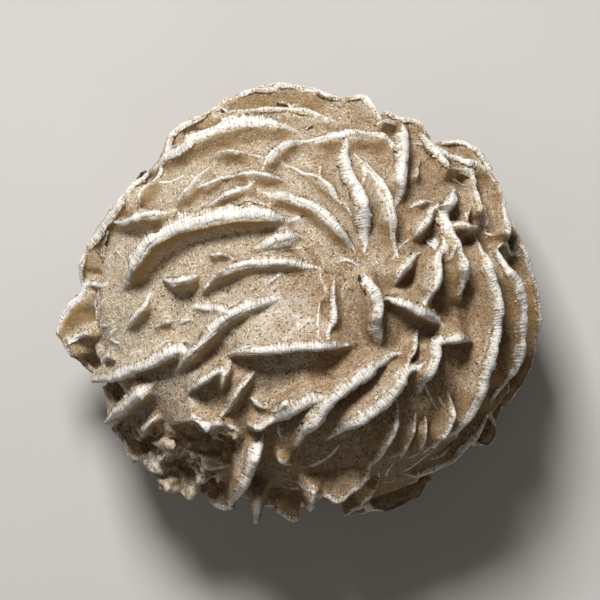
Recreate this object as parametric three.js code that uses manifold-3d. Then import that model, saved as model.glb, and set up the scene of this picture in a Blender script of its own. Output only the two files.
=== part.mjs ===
// A gypsum sand rose: one rounded cluster of thin crystal blades that grew through each other in sand.
//
// The cluster is a single solid. A lumpy core stands for the sand and crystal that the blades share, and
// each blade is a leaning wall whose outer edge, its rim, stands a few millimetres above the core. The
// upper side carries the named blades; the underside and flanks carry the same kind of blade in rings.
// The cluster lies on a small worn flat. Units are millimetres, +Z is up, and the origin is the middle of
// the bounding box's lower face.

import * as THREE from "three";
import { mergeVertices } from "three/addons/utils/BufferGeometryUtils.js";
import Module from "manifold-3d";

// ---------- Driving dimensions ----------
const CORE_MIDDLE = new THREE.Vector3(1.0, -0.2, 17.2); // centre of the core above the worn flat
const CORE_RADII = new THREE.Vector3(25.4, 23.4, 19.2); // half width, half depth, half height
const CORE_DETAIL = 3; // subdivisions of the icosahedron behind the core
const LUMP = 0.018; // height of the core's lumps as a share of its radius
const BURIED = 2.2; // depth of a blade's root below the core's skin
const SECTION_SPACING = 4.0; // distance between two cross sections along a rim
const RIM = 0.95; // usual thickness of a rim
const RISE = 2.4; // usual height of a rim above the core
const STEEP = 0.5; // how much a blade widens from rim to root on its bare side
const BANK = 2.6; // how much it widens on the side where sand banked up
const WINDWARD = new THREE.Vector3(-0.3, 0.75, 0.6); // the way the banked sides face
const END_SHARPNESS = 5; // higher keeps the rim tall closer to its ends
const END_SINK = 0.35; // how far a rim's ends dip into the core
const END_TAPER = 0.65; // share of the rim's thickness that is lost at its ends
const UPRIGHT = 0.6; // how much the upper side's blades stand up instead of straight out of the core
const WOBBLE = 0.22; // roughness of the rim line and of its height
const THICK_WOBBLE = 0.132; // roughness of a rim's thickness, as a share of it
const BROAD_SWING = { height: 1.92, count: 3, start: 0.7 }; // how the outermost rims swing above and
const FINE_SWING = { height: 1.28, count: 7, start: 0 }; // below the widest line, round the cluster
const GROUND = 100; // side of the block of ground that wears the flat
const SEED = 20;
const WELD = 0.001; // corners closer than this are one corner

// The broken hollow on the lower left flank: the ellipsoid that is missing there, tipped inwards.
const HOLLOW_MIDDLE = new THREE.Vector3(-13.0, -20.5, 31.0);
const HOLLOW_RADII = new THREE.Vector3(7.6, 4.8, 9.5);
const HOLLOW_TIP = 0.5; // in radians
const HOLLOW_DETAIL = 3;

// ---------- Blades of the upper side ----------
// Each row is one blade: the plan route of its rim, then what differs from the usual blade.
// rise: height above the core; thick: thickness of the rim; lean: degrees towards the left of the
// route; fill: extra sand banked on its windward side; drop: how far the rim hangs below the skin
// line, for blades that show only beyond the edge of the cluster.
const BLADES = [
  // the far edge, in overlapping scales
  { rim: [[-13, 22.8], [-8, 25.6], [-2, 27.2], [3, 26.5], [5.6, 25.6]], rise: 3.0 },
  { rim: [[-6.5, 25.1], [-2, 25.0], [1.6, 24.1]], rise: 1.6, thick: 0.65 },
  { rim: [[-10.6, 23.3], [-4, 23.9], [0.5, 23.6], [4, 22.3], [7.2, 20.9]], rise: 1.7 },
  {
    rim: [[-19.3, 15.8], [-16.5, 18.3], [-12.5, 20.3],
      [-8, 22.1], [-3, 22.2], [1.2, 21.1]],
    rise: 2.4, thick: 1.25,
  },
  { rim: [[-17.2, 18.0], [-15, 21.7], [-11, 24.1]], rise: 2.2, drop: 2.0 },
  { rim: [[-27, 4.9], [-25.3, 8.7], [-22.3, 11.9], [-19, 16.1]], rise: 2.2, thick: 1.25 },
  { rim: [[-20, 11.1], [-18.8, 14.3], [-16.2, 16.3]], rise: 1.8, thick: 0.75 },
  { rim: [[-15.1, 11.8], [-13, 14.4], [-10.6, 17.0]], rise: 1.6, thick: 0.85 },
  { rim: [[-12.2, 13.2], [-10.4, 14.6], [-8.4, 15.6]], rise: 1.2, thick: 0.6 },
  { rim: [[-10.6, 18.1], [-8, 18.6], [-5.4, 18.4]], rise: 1.4, thick: 0.6 },
  { rim: [[-23.2, 9.3], [-20.5, 10.6], [-14.8, 11.2]], rise: 2.0, thick: 0.9 },
  { rim: [[6, 26.1], [8.2, 25.6], [9.3, 24.2], [10.7, 22.3]], rise: 2.2 },
  { rim: [[9, 21.3], [10.4, 22.5], [12.8, 22.9]], rise: 1.6, thick: 0.75 },
  { rim: [[10.6, 24.2], [13.2, 23.0], [15.3, 22.3], [16.6, 20.8]], rise: 2.2, drop: 1.0 },
  // the long curved blade of the left half, and the small ones round it
  {
    rim: [[-22, 1.4], [-19.6, 5.3], [-16.2, 8.7],
      [-11, 9.9], [-6, 10.7], [0.7, 10.0]],
    rise: 3.3, thick: 1.3,
  },
  { rim: [[-11.2, 11.8], [-8.5, 13.1], [-4.6, 14.4]], rise: 1.9, thick: 0.85 },
  { rim: [[-8.6, 11.5], [-6.2, 12.3], [-3.2, 12.2]], rise: 1.6, thick: 0.85 },
  { rim: [[-8.4, 15.5], [-5, 15.6], [-1.3, 14.8]], rise: 1.6, thick: 0.75 },
  { rim: [[-11, 6.0], [-9, 6.1], [-7.2, 5.9]], rise: 1.0, thick: 0.55 },
  { rim: [[-5.8, 6.6], [-3, 7.3], [0.8, 8.2]], rise: 1.5, thick: 1.25 },
  {
    rim: [[-12, 0.9], [-10.3, 3.3], [-8.4, 4.6],
      [-4.5, 5.1], [-0.5, 4.8], [2.4, 4.1]],
    rise: 1.6, thick: 0.75,
  },
  { rim: [[-16.6, 3.2], [-14.5, 2.7], [-11.7, 3.6]], rise: 2.0, thick: 0.75 },
  { rim: [[-17.9, 1.7], [-19, -0.8], [-21.7, -3.5]], rise: 1.4, thick: 0.75, lean: 15 },
  { rim: [[-17.8, -2.9], [-16.6, -2.4], [-15.2, -1.8]], rise: 0.9, thick: 0.55 },
  // the knot of the rose, right of the middle, with blades running into it
  { rim: [[-5.4, 13.6], [-1, 12.9], [3, 10.7], [5.2, 8.4], [7, 6.3]], rise: 2.3, thick: 1.0 },
  { rim: [[7.4, 5.4], [8.3, 3.3], [9.5, 0.8], [9.6, -2.0], [9.7, -5.0]], rise: 3.0, thick: 1.4 },
  { rim: [[-4.8, 15.6], [-3.2, 18.0], [-0.8, 19.8], [1.4, 20.2]], rise: 2.0, thick: 0.9 },
  { rim: [[-0.2, 19.3], [4.5, 20.3], [8.5, 20.9], [11, 20.1], [12.4, 17.6]], rise: 2.1, thick: 1.1 },
  {
    rim: [[13.5, 22.2], [13.2, 19.0], [12.7, 16.0],
      [12.3, 13.0], [12.1, 11.6]],
    rise: 3.0, thick: 1.25,
  },
  { rim: [[-2.1, 17.4], [0, 16.0], [2.8, 15.7], [4.2, 13.7], [6, 10.1]], rise: 1.6, thick: 0.9 },
  { rim: [[4.9, 19.8], [6, 17.0], [7, 13.8], [7.6, 10.8], [8, 7.6]], rise: 2.8, thick: 1.25 },
  { rim: [[8.2, 17.5], [9.8, 15.4], [10.9, 12.3], [11.4, 9.3], [11.7, 6.4]], rise: 2.8, thick: 1.15 },
  { rim: [[14.8, 17.7], [14.6, 16.0], [14.3, 14.4]], rise: 1.2, thick: 0.6 },
  { rim: [[13.5, 11.7], [15, 12.3], [16.9, 12.9]], rise: 1.6, thick: 0.75 },
  { rim: [[13.6, 7.6], [15.2, 9.3], [17, 12.0]], rise: 2.2, thick: 0.9 },
  { rim: [[10.8, 2.1], [12.8, 4.3], [14.7, 6.7]], rise: 2.2, thick: 0.9 },
  { rim: [[16.6, 8.4], [16.9, 5.5], [16.3, 2.3], [15.3, -1.1]], rise: 3.0, thick: 1.1 },
  { rim: [[18.3, 8.3], [17.9, 6.4], [17.3, 4.5]], rise: 1.8, thick: 0.65 },
  { rim: [[19.5, 14.4], [18.7, 12.6], [17.5, 11.1]], rise: 2.6, thick: 1.1 },
  { rim: [[17.6, 11.4], [18.8, 8.4], [20.1, 5.0], [20.2, 2.8], [19.3, 0.4]], rise: 3.0, thick: 1.25 },
  { rim: [[18.1, 9.9], [20.2, 9.7], [22.3, 9.4]], rise: 2.0, thick: 0.75 },
  { rim: [[20.2, 11.8], [20.6, 10.8], [20.7, 9.6]], rise: 1.2, thick: 0.55 },
  { rim: [[9.7, 1.0], [12.3, 0.0], [15, -1.3], [18.2, -2.4]], rise: 3.2, thick: 0.85, lean: -12 },
  // the right edge, in long nested rims
  { rim: [[15.4, 21.2], [16.8, 19.1], [18.5, 16.9], [20.4, 15.7]], rise: 2.2, thick: 1.0 },
  { rim: [[21.3, 15.2], [22, 13.0], [22.5, 9.8]], rise: 1.6, thick: 0.9 },
  {
    rim: [[17.6, 18.9], [20.5, 18.1], [23.2, 16.9],
      [24.6, 15.0], [25.8, 12.6]],
    rise: 2.6, thick: 1.15,
  },
  { rim: [[17.2, 20.1], [20, 20.4], [22.6, 19.1], [24.2, 16.8]], rise: 2.2, drop: 3.0, thick: 1.1 },
  { rim: [[25.1, 13.0], [25.7, 10.5], [26, 8.0], [25.4, 6.8]], rise: 2.2, thick: 1.0 },
  {
    rim: [[26.2, 10.9], [28.2, 5.8], [29.5, 1.8],
      [30, -2.0], [29.5, -5.9]],
    rise: 2.4, drop: 2.0, thick: 1.15,
  },
  {
    rim: [[24, 7.4], [25.9, 3.8], [27.3, 0.0],
      [27.6, -4.0], [26.4, -8.3], [24, -11.6]],
    rise: 3.2, thick: 1.3,
  },
  {
    rim: [[21.6, 8.7], [23, 4.8], [24.2, 0.0], [23.6, -4.4],
      [22, -9.0], [21.7, -12.2], [18.1, -17.6]],
    rise: 3.4, thick: 1.4,
  },
  { rim: [[29.4, -6.2], [28, -9.4], [25.8, -12.6]], rise: 2.0, drop: 5.0 },
  { rim: [[26.2, -11.0], [24.9, -14.5], [24, -17.4], [21.4, -18.0]], rise: 2.2, drop: 7.0 },
  {
    rim: [[24.2, -12.8], [22, -16.4], [18.6, -19.4],
      [15.2, -21.3], [10.6, -21.7]],
    rise: 2.2, drop: 2.0, thick: 0.9,
  },
  // the near right quarter
  { rim: [[17, -3.5], [16.5, -5.8], [15.6, -8.0], [14.4, -10.6]], rise: 3.0, thick: 1.25 },
  { rim: [[16.9, -4.4], [19, -4.2], [21.4, -4.4]], rise: 2.8, thick: 0.9, lean: -12 },
  { rim: [[14.6, -2.9], [13.8, -5.1], [12.5, -7.5]], rise: 1.8, thick: 0.75 },
  {
    rim: [[14.9, -6.0], [12.6, -8.9], [10.8, -11.0],
      [8, -13.0], [3.4, -16.4]],
    rise: 3.6, thick: 1.15, lean: 10,
  },
  { rim: [[12, -11.2], [11.5, -14.0], [10.5, -17.3], [9.2, -20.2]], rise: 2.4, thick: 0.9 },
  { rim: [[14.1, -12.8], [14, -15.0], [13.2, -17.2], [11.7, -19.5]], rise: 1.6, thick: 0.65 },
  { rim: [[15.3, -13.5], [15.3, -16.0], [14.5, -18.8]], rise: 1.5, thick: 0.65 },
  { rim: [[18.2, -10.0], [18.5, -12.8], [18, -15.6], [15.7, -19.0]], rise: 2.2, thick: 0.9 },
  { rim: [[9.4, -19.9], [6.5, -23.0], [4, -24.1], [2, -22.4]], rise: 2.4, thick: 0.85 },
  { rim: [[10.8, -20.4], [9.3, -22.8], [7.6, -25.1], [5.6, -26.1]], rise: 1.8, drop: 1.5 },
  { rim: [[16.9, -21.6], [13.8, -24.3], [10, -25.5], [6.2, -26.0]], rise: 2.4, drop: 5.0, thick: 1.15 },
  // the middle and the near left quarter
  { rim: [[4.6, 5.1], [4.3, 2.0], [4.4, -1.5], [4.5, -4.9]], rise: 1.2, thick: 0.6 },
  { rim: [[-12.8, -0.2], [-9, -0.6], [-5, 0.1], [-1.2, 1.0]], rise: 1.5, thick: 1.1 },
  {
    rim: [[-15.6, -8.6], [-12.2, -5.6], [-9.8, -2.9],
      [-7.2, -0.9], [-3.3, -0.4]],
    rise: 2.4, thick: 0.9, fill: 1.0,
  },
  {
    rim: [[-9.5, -6.2], [-5.5, -5.8], [-1.5, -5.3],
      [3, -5.1], [7.2, -4.9]],
    rise: 3.0, thick: 1.1, lean: -14, fill: 2.6,
  },
  {
    rim: [[-25.8, -9.5], [-22.2, -8.8], [-18.8, -7.2],
      [-15.5, -5.7], [-12.1, -4.4]],
    rise: 3.0, thick: 1.25, fill: 1.2,
  },
  { rim: [[-24, -14.7], [-21.8, -13.1], [-19.6, -11.3], [-17, -9.1]], rise: 2.8, thick: 1.1 },
  { rim: [[-24.3, -10.1], [-23.5, -12.0], [-23.6, -14.0]], rise: 1.6, drop: 1.0 },
  { rim: [[-14.1, -10.9], [-11.8, -9.3], [-9.6, -7.8], [-7.8, -6.5]], rise: 2.6, thick: 0.85 },
  { rim: [[-9.5, -10.7], [-8.7, -8.9], [-7.7, -7.0]], rise: 1.8, thick: 0.65 },
  { rim: [[-8.8, -13.5], [-7.3, -11.0], [-5, -7.7]], rise: 1.9, thick: 0.75 },
  { rim: [[-6, -11.1], [-4.6, -12.1], [-3.4, -13.0]], rise: 1.2, thick: 0.65 },
  { rim: [[-1.6, -11.0], [-3, -12.4], [-4.2, -13.9]], rise: 1.2, thick: 0.75 },
  {
    rim: [[12.5, -5.2], [9.2, -7.0], [6.8, -8.8], [4.2, -10.4],
      [2, -13.0], [0.7, -15.3], [-0.7, -17.8]],
    rise: 3.2, thick: 1.15,
  },
  { rim: [[4.7, -9.3], [1.2, -11.0], [-1.5, -13.0], [-4, -14.4]], rise: 2.8, thick: 1.15, fill: 1.0 },
  { rim: [[-6.6, -14.7], [-4.8, -14.8], [-3, -14.3]], rise: 2.4, thick: 1.1 },
  { rim: [[-4, -15.6], [-5.2, -18.2], [-6.4, -21.0], [-8.4, -24.9]], rise: 3.6, thick: 1.25 },
  { rim: [[-4.6, -22.0], [-5, -24.6], [-5.3, -27.0]], rise: 2.6, thick: 1.0 },
  { rim: [[-3, -18.2], [-1.9, -19.0], [-0.8, -19.8]], rise: 1.2, thick: 0.65 },
  { rim: [[2, -21.4], [1.8, -23.6], [1.5, -25.5]], rise: 2.2, thick: 0.85 },
  { rim: [[-3.4, -24.0], [-1.6, -26.0], [0.2, -26.6]], rise: 2.0, drop: 1.0 },
  // the left edge and the rim of the broken hollow
  { rim: [[-28, -6.6], [-29.9, -3.4], [-29, -0.9], [-27.2, 1.0], [-25, 2.0]], rise: 2.8, thick: 1.25 },
  { rim: [[-27, 5.4], [-27, 3.2], [-26, 1.3]], rise: 1.8, thick: 1.15, drop: 1.0 },
  { rim: [[-27.8, -3.9], [-26.2, -3.6], [-24.4, -3.4]], rise: 1.6, thick: 0.6 },
  { rim: [[-29.3, -4.6], [-27.4, -7.0], [-25.1, -9.1]], rise: 2.2, drop: 4.0 },
  { rim: [[-24, -5.7], [-22.6, -6.9], [-22.1, -8.4]], rise: 1.4, thick: 1.1 },
  {
    rim: [[-15.9, -14.4], [-13.4, -13.9], [-11.8, -13.3],
      [-10.6, -14.5], [-6.6, -14.4]],
    rise: 1.8, thick: 1.1, fill: 1.8,
  },
  { rim: [[-19.6, -16.4], [-18.2, -14.8], [-16.6, -12.8]], rise: 1.4, thick: 0.6 },
  { rim: [[-23.4, -15.2], [-21, -17.6], [-18.4, -20.2]], rise: 2.2, drop: 2.0, thick: 1.1 },
  {
    rim: [[-18.4, -20.4], [-17, -22.1], [-15, -23.0],
      [-12.4, -23.8], [-11, -23.2]],
    rise: 2.4, thick: 1.15,
  },
  { rim: [[-16.8, -19.9], [-16.3, -18.2], [-16, -16.4]], rise: 1.4, thick: 0.75 },
  { rim: [[-11.4, -24.2], [-10, -25.0], [-7.8, -25.2]], rise: 2.0, drop: 1.5 },
];

// ---------- Blades of the flanks and the underside ----------
// Rings of blades below the widest line: latitude of the ring, number of blades, their rim length,
// and how steeply the rims cross the ring, in degrees.
const RINGS = [
  { latitude: -14, count: 13, length: 18, slope: 32 },
  { latitude: -30, count: 12, length: 17, slope: -30 },
  { latitude: -46, count: 10, length: 15, slope: 40 },
];
const FLANK_RISE = { usual: 1.9, spread: 0.4 };
const FLANK_THICK = { usual: 1.045, spread: 0.2375 };
const FLANK_BOW = { usual: 5, spread: 3 }; // how far a rim's middle bows up, in degrees of latitude
const FLANK_SLOPE_SPREAD = 16; // in degrees
const FLANK_LEAN_SPREAD = 14; // in degrees
const FLANK_CLIMB = 0.7; // degrees of latitude a steep rim climbs for each degree of its length
const FLANK_TOP = -3; // latitude the rims stay below
const FLANK_STAGGER = 0.3; // unevenness of their spacing round a ring

// A small repeatable random source, between -1 and 1.
function randomSource(seed) {
  let state = seed;
  return () => {
    state = (state * 1664525 + 1013904223) % 4294967296;
    return (state / 4294967296) * 2 - 1;
  };
}
const random = randomSource(SEED);

// Where a point lies against the core: 1 on its skin, less inside.
function coreShare(point) {
  return point.clone().sub(CORE_MIDDLE).divide(CORE_RADII).length();
}

// Direction out of the core's skin near a point.
function outwardAt(point) {
  return point.clone().sub(CORE_MIDDLE).divide(CORE_RADII).divide(CORE_RADII).normalize();
}

// The point straight above (x, y) on the core grown by lift; beyond its edge it stays near the widest
// line, which swings up and down round the cluster.
function onUpperSide(x, y, lift) {
  const grown = CORE_RADII.clone().addScalar(lift);
  const across = ((x - CORE_MIDDLE.x) / grown.x) ** 2 + ((y - CORE_MIDDLE.y) / grown.y) ** 2;
  const bearing = Math.atan2(y - CORE_MIDDLE.y, x - CORE_MIDDLE.x);
  const swing = [BROAD_SWING, FINE_SWING]
    .map(({ height, count, start }) => height * Math.sin(count * bearing + start))
    .reduce((sum, one) => sum + one);
  const height = (grown.z - swing) * Math.sqrt(Math.max(0, 1 - across));
  return new THREE.Vector3(x, y, CORE_MIDDLE.z + swing + height);
}

// The point on the core grown by lift in the direction of a bearing and a latitude, in degrees.
function onCore(bearing, latitude, lift) {
  const b = THREE.MathUtils.degToRad(bearing);
  const l = THREE.MathUtils.degToRad(latitude);
  const grown = CORE_RADII.clone().addScalar(lift);
  const level = Math.cos(l);
  const direction = new THREE.Vector3(Math.cos(b) * level, Math.sin(b) * level, Math.sin(l));
  return direction.multiply(grown).add(CORE_MIDDLE);
}

// Height of a rim along its length, from 0 at one end to 1 at the other.
function riseAt(share, rise) {
  const fade = Math.abs(2 * share - 1) ** END_SHARPNESS;
  return rise * (1 - fade) - END_SINK * fade;
}

// A closed wall with four sides that follows a rim. Each section has the rim's two corners and the
// root's two corners, buried in the core.
function bladeGeometry(rimPoints, { thick = RIM, lean = 0, fill = 0, upright = UPRIGHT }) {
  const last = rimPoints.length - 1;
  const tilt = THREE.MathUtils.degToRad(lean);
  const tiltCos = Math.cos(tilt);
  const tiltSin = Math.sin(tilt);
  const positions = [];
  rimPoints.forEach((point, i) => {
    const before = rimPoints[Math.max(i - 1, 0)];
    const along = rimPoints[Math.min(i + 1, last)].clone().sub(before).normalize();
    const outward = outwardAt(point);
    const standing = outward.clone().setZ(outward.z + upright).normalize();
    const left = standing.clone().cross(along).normalize();
    const up = standing.clone().multiplyScalar(tiltCos).addScaledVector(left, tiltSin);
    const across = left.clone().multiplyScalar(tiltCos).addScaledVector(standing, -tiltSin);
    const above = point.distanceTo(CORE_MIDDLE) * (1 - 1 / coreShare(point));
    const reach = (Math.max(above, 0) + BURIED) / Math.max(up.dot(outward), 0.5);
    const root = point.clone().addScaledVector(up, -reach);
    const taper = 1 - END_TAPER * Math.abs((2 * i) / last - 1) ** 3;
    const half = (thick / 2) * taper * (1 + THICK_WOBBLE * random());
    const facing = left.dot(WINDWARD);
    const leftRoot = half + THREE.MathUtils.mapLinear(facing, -1, 1, STEEP, BANK + fill);
    const rightRoot = half + THREE.MathUtils.mapLinear(-facing, -1, 1, STEEP, BANK + fill);
    const corners = [
      point.clone().addScaledVector(across, half),
      point.clone().addScaledVector(across, -half),
      root.clone().addScaledVector(across, -rightRoot),
      root.clone().addScaledVector(across, leftRoot),
    ];
    corners.forEach((corner) => positions.push(corner.x, corner.y, corner.z));
  });

  const faces = [0, 2, 1, 0, 3, 2];
  for (let i = 0; i < last; i++) {
    for (let side = 0; side < 4; side++) {
      const a = 4 * i + side;
      const b = 4 * i + ((side + 1) % 4);
      faces.push(a, b, b + 4, a, b + 4, a + 4);
    }
  }
  const end = 4 * last;
  faces.push(end, end + 1, end + 2, end, end + 2, end + 3);

  const geometry = new THREE.BufferGeometry();
  geometry.setAttribute("position", new THREE.Float32BufferAttribute(positions, 3));
  geometry.setIndex(faces);
  return geometry;
}

// Points along a smooth route, evenly spaced.
function spacedAlong(route) {
  const curve = new THREE.CatmullRomCurve3(route, false, "centripetal");
  return curve.getSpacedPoints(Math.max(3, Math.round(curve.getLength() / SECTION_SPACING)));
}

// One blade of the upper side, from its row.
function upperBlade({ rim, rise = RISE, drop = 0, ...shape }) {
  const plan = spacedAlong(rim.map(([x, y]) => new THREE.Vector3(x, y, 0)));
  const points = plan.map(({ x, y }, i) => {
    const inner = i > 0 && i < plan.length - 1;
    const nudge = inner ? WOBBLE : 0;
    const lift = riseAt(i / (plan.length - 1), rise) + nudge * random();
    const point = onUpperSide(x + nudge * random(), y + nudge * random(), lift);
    point.z -= drop;
    return point;
  });
  return bladeGeometry(points, shape);
}

// A usual value with its own random spread.
function varied({ usual, spread }) {
  return usual + spread * random();
}

// One blade of the flanks, its rim crossing a ring at a slant and bowed upwards.
function flankBlade(bearing, { latitude, length, slope }) {
  const steps = Math.round(length / SECTION_SPACING);
  const ringRadius = CORE_RADII.x * Math.cos(THREE.MathUtils.degToRad(latitude));
  const degreesLong = THREE.MathUtils.radToDeg(length / ringRadius);
  const slant = THREE.MathUtils.degToRad(slope + FLANK_SLOPE_SPREAD * random());
  const bow = varied(FLANK_BOW);
  const points = [];
  for (let i = 0; i <= steps; i++) {
    const share = i / steps;
    const way = (share - 0.5) * degreesLong;
    const lift = riseAt(share, varied(FLANK_RISE));
    const climb = way * Math.sin(slant) * FLANK_CLIMB + bow * (1 - (2 * share - 1) ** 2);
    points.push(onCore(bearing + way * Math.cos(slant), Math.min(latitude + climb, FLANK_TOP), lift));
  }
  const thick = varied(FLANK_THICK);
  return bladeGeometry(points, { thick, lean: FLANK_LEAN_SPREAD * random(), upright: 0 });
}

function flankBlades() {
  return RINGS.flatMap((ring) =>
    Array.from({ length: ring.count }, (_, i) => {
      const bearing = ((i + FLANK_STAGGER * random()) * 360) / ring.count + ring.latitude;
      return flankBlade(bearing, ring);
    }),
  );
}

// The core: an ellipsoid with a few broad lumps, where two sets of waves cross.
function coreGeometry() {
  const geometry = new THREE.IcosahedronGeometry(1, CORE_DETAIL);
  const place = geometry.attributes.position;
  const direction = new THREE.Vector3();
  for (let i = 0; i < place.count; i++) {
    direction.fromBufferAttribute(place, i).normalize();
    const { x, y, z } = direction;
    const lumps = Math.sin(5.1 * x + 1.3) * Math.cos(4.3 * y) + Math.sin(6.2 * z + 3.7 * y);
    direction.multiplyScalar(1 + LUMP * lumps).multiply(CORE_RADII).add(CORE_MIDDLE);
    place.setXYZ(i, direction.x, direction.y, direction.z);
  }
  return geometry;
}

function hollowGeometry() {
  const { x, y, z } = HOLLOW_RADII;
  const missing = new THREE.IcosahedronGeometry(1, HOLLOW_DETAIL).scale(x, y, z).rotateX(HOLLOW_TIP);
  return missing.translate(HOLLOW_MIDDLE.x, HOLLOW_MIDDLE.y, HOLLOW_MIDDLE.z);
}

// Everything below the worn flat.
function groundGeometry() {
  return new THREE.BoxGeometry(GROUND, GROUND, GROUND).translate(0, 0, -GROUND / 2);
}

// ---------- Joining ----------
const wasm = await Module();
wasm.setup();

function solidOf(geometry) {
  const bare = new THREE.BufferGeometry().setAttribute("position", geometry.attributes.position);
  bare.setIndex(geometry.index);
  const merged = mergeVertices(bare, WELD);
  const vertProperties = new Float32Array(merged.attributes.position.array);
  const triVerts = new Uint32Array(merged.index.array);
  return new wasm.Manifold(new wasm.Mesh({ numProp: 3, vertProperties, triVerts }));
}

function geometryOf(solid) {
  const mesh = solid.getMesh();
  const geometry = new THREE.BufferGeometry();
  geometry.setAttribute("position", new THREE.BufferAttribute(mesh.vertProperties, mesh.numProp));
  geometry.setIndex(new THREE.BufferAttribute(mesh.triVerts, 1));
  geometry.computeVertexNormals();
  return geometry;
}

// The outer skin of a solid: no crumbs beside it and no sealed pockets inside it.
function wholeBody(solid) {
  return solid.decompose().reduce((big, one) => (one.volume() > big.volume() ? one : big));
}

// The cluster as one closed body, standing with the middle of its box over the origin.
function clusterGeometry() {
  const blades = [...BLADES.map(upperBlade), ...flankBlades()];
  let cluster = solidOf(coreGeometry()).subtract(solidOf(hollowGeometry()));
  blades.forEach((blade) => {
    cluster = cluster.add(solidOf(blade));
  });
  const loose = geometryOf(wholeBody(cluster.subtract(solidOf(groundGeometry()))));
  loose.computeBoundingBox();
  const middle = loose.boundingBox.getCenter(new THREE.Vector3());
  loose.translate(-middle.x, -middle.y, 0);
  return geometryOf(wholeBody(solidOf(loose)));
}

const material = new THREE.MeshStandardMaterial({ color: 0xc9b18c, roughness: 0.95, metalness: 0.0 });
const sandRose = new THREE.Mesh(clusterGeometry(), material);
sandRose.name = "sand_rose";

const cluster = new THREE.Group();
cluster.add(sandRose);
export default cluster;
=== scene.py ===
"""A gypsum sand rose: crystal blades that grew through each other in sand, lying on a pale studio floor."""

import functools
import itertools
import math
import random
from collections import namedtuple

import bmesh
import bpy
import numpy as np
from mathutils import Matrix, Vector, kdtree
from mathutils.bvhtree import BVHTree


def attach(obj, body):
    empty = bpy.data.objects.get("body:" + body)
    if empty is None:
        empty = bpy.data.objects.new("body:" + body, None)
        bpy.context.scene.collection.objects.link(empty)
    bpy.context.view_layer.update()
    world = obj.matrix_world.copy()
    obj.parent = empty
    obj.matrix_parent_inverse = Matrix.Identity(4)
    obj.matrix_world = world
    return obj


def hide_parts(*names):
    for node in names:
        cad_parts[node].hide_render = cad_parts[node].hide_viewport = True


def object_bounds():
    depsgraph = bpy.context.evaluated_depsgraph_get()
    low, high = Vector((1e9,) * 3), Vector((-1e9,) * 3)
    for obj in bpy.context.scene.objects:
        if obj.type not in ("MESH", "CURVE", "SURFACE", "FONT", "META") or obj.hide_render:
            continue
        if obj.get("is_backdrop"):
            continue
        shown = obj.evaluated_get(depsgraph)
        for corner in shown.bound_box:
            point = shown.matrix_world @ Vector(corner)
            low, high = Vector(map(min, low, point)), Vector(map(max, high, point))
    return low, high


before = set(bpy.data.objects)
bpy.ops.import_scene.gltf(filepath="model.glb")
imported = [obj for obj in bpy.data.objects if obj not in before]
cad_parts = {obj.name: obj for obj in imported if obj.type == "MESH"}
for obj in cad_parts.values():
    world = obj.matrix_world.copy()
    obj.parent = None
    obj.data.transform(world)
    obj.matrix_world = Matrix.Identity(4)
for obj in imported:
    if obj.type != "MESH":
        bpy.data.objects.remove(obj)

bl_info = {
    "name": "Gypsum sand rose",
    "version": (1, 0, 0),
    "blender": (4, 5, 0),
    "location": "3D View > Sidebar > Sand rose",
    "description": "Builds a gypsum sand rose: blades, white rims, sand grains and a small studio",
    "category": "Add Mesh",
}

NODE = "sand_rose"
BODY = "root"
MM = 0.001

CAD_LOW, CAD_HIGH = (Vector(corner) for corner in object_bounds())
CENTRE = (CAD_LOW + CAD_HIGH) / 2
WIDTH, DEPTH, HEIGHT = CAD_HIGH - CAD_LOW
# The side where sand banked up against each blade. It points nearly at the key light, so the colour masks
# that use it paint light on faces turned to it and shade on faces turned away.
WINDWARD_AND_KEY_LIGHT = np.array(Vector((-0.3, 0.75, 0.6)).normalized())
UPRIGHT = 0.6  # how much the upper blades stand up instead of straight out
BLADES_STAND_ABOVE = 0.34 * HEIGHT  # below this they stick straight out
CREST_SEED = 7
RIM_SEED = 19
FIRST_GRAIN_SEED = 10

KEY_BEARING = math.radians(108)  # bearings are counted from +X towards +Y
FILL_BEARING = math.radians(255)
FILL_HEIGHT = math.radians(60)
FILL_SHARE = 0.05  # the fill light's power as a share of the key light's
WIDEST_LINE = CAD_LOW.z + 0.44 * HEIGHT  # height of the rose's widest line
AIM = Vector((0.18 * MM, 0.49 * MM))  # from the rose's middle to the camera's, seen from above


# ---------- Sizes and colours that a user would change ----------


class SandRoseShape(bpy.types.PropertyGroup):
    """How the rose's body is weathered."""

    cell: bpy.props.FloatProperty(
        name="Mesh cell",
        description="Edge length of the body's fine mesh",
        default=0.27 * MM,
        min=0.2 * MM,
        precision=5,
        unit="LENGTH",
        subtype="DISTANCE",
    )
    triangles: bpy.props.IntProperty(
        name="Triangles",
        description="Number of triangles that the finished body keeps",
        default=196000,
        min=10000,
    )
    slivers: bpy.props.IntProperty(
        name="Slivers",
        description="Number of small second-order blades between the large ones",
        default=420,
        min=0,
    )
    rim_pitch: bpy.props.FloatProperty(
        name="Rim pitch",
        description="Distance between two cross sections of a rim",
        default=0.17 * MM,
        min=0.1 * MM,
        precision=5,
        unit="LENGTH",
        subtype="DISTANCE",
    )
    settle: bpy.props.IntProperty(
        name="Sand settling",
        description="Rounds of smoothing that bank the sand up against the blades",
        default=10,
        min=0,
    )
    swell: bpy.props.FloatProperty(
        name="Swell",
        description="Height of the broad lumps in the sand",
        default=0.26 * MM,
        precision=5,
        unit="LENGTH",
        subtype="DISTANCE",
    )
    ragged: bpy.props.FloatProperty(
        name="Ragged rims",
        description="How far the blade rims are nicked and swollen along their length",
        default=0.30 * MM,
        precision=5,
        unit="LENGTH",
        subtype="DISTANCE",
    )
    rubble: bpy.props.FloatProperty(
        name="Rubble",
        description="Height of the broken lumps on the near left flank",
        default=0.8 * MM,
        precision=5,
        unit="LENGTH",
        subtype="DISTANCE",
    )
    pitting: bpy.props.FloatProperty(
        name="Pitting",
        description="Depth of the pits between clumps of grains",
        default=0.16 * MM,
        precision=5,
        unit="LENGTH",
        subtype="DISTANCE",
    )


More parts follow.
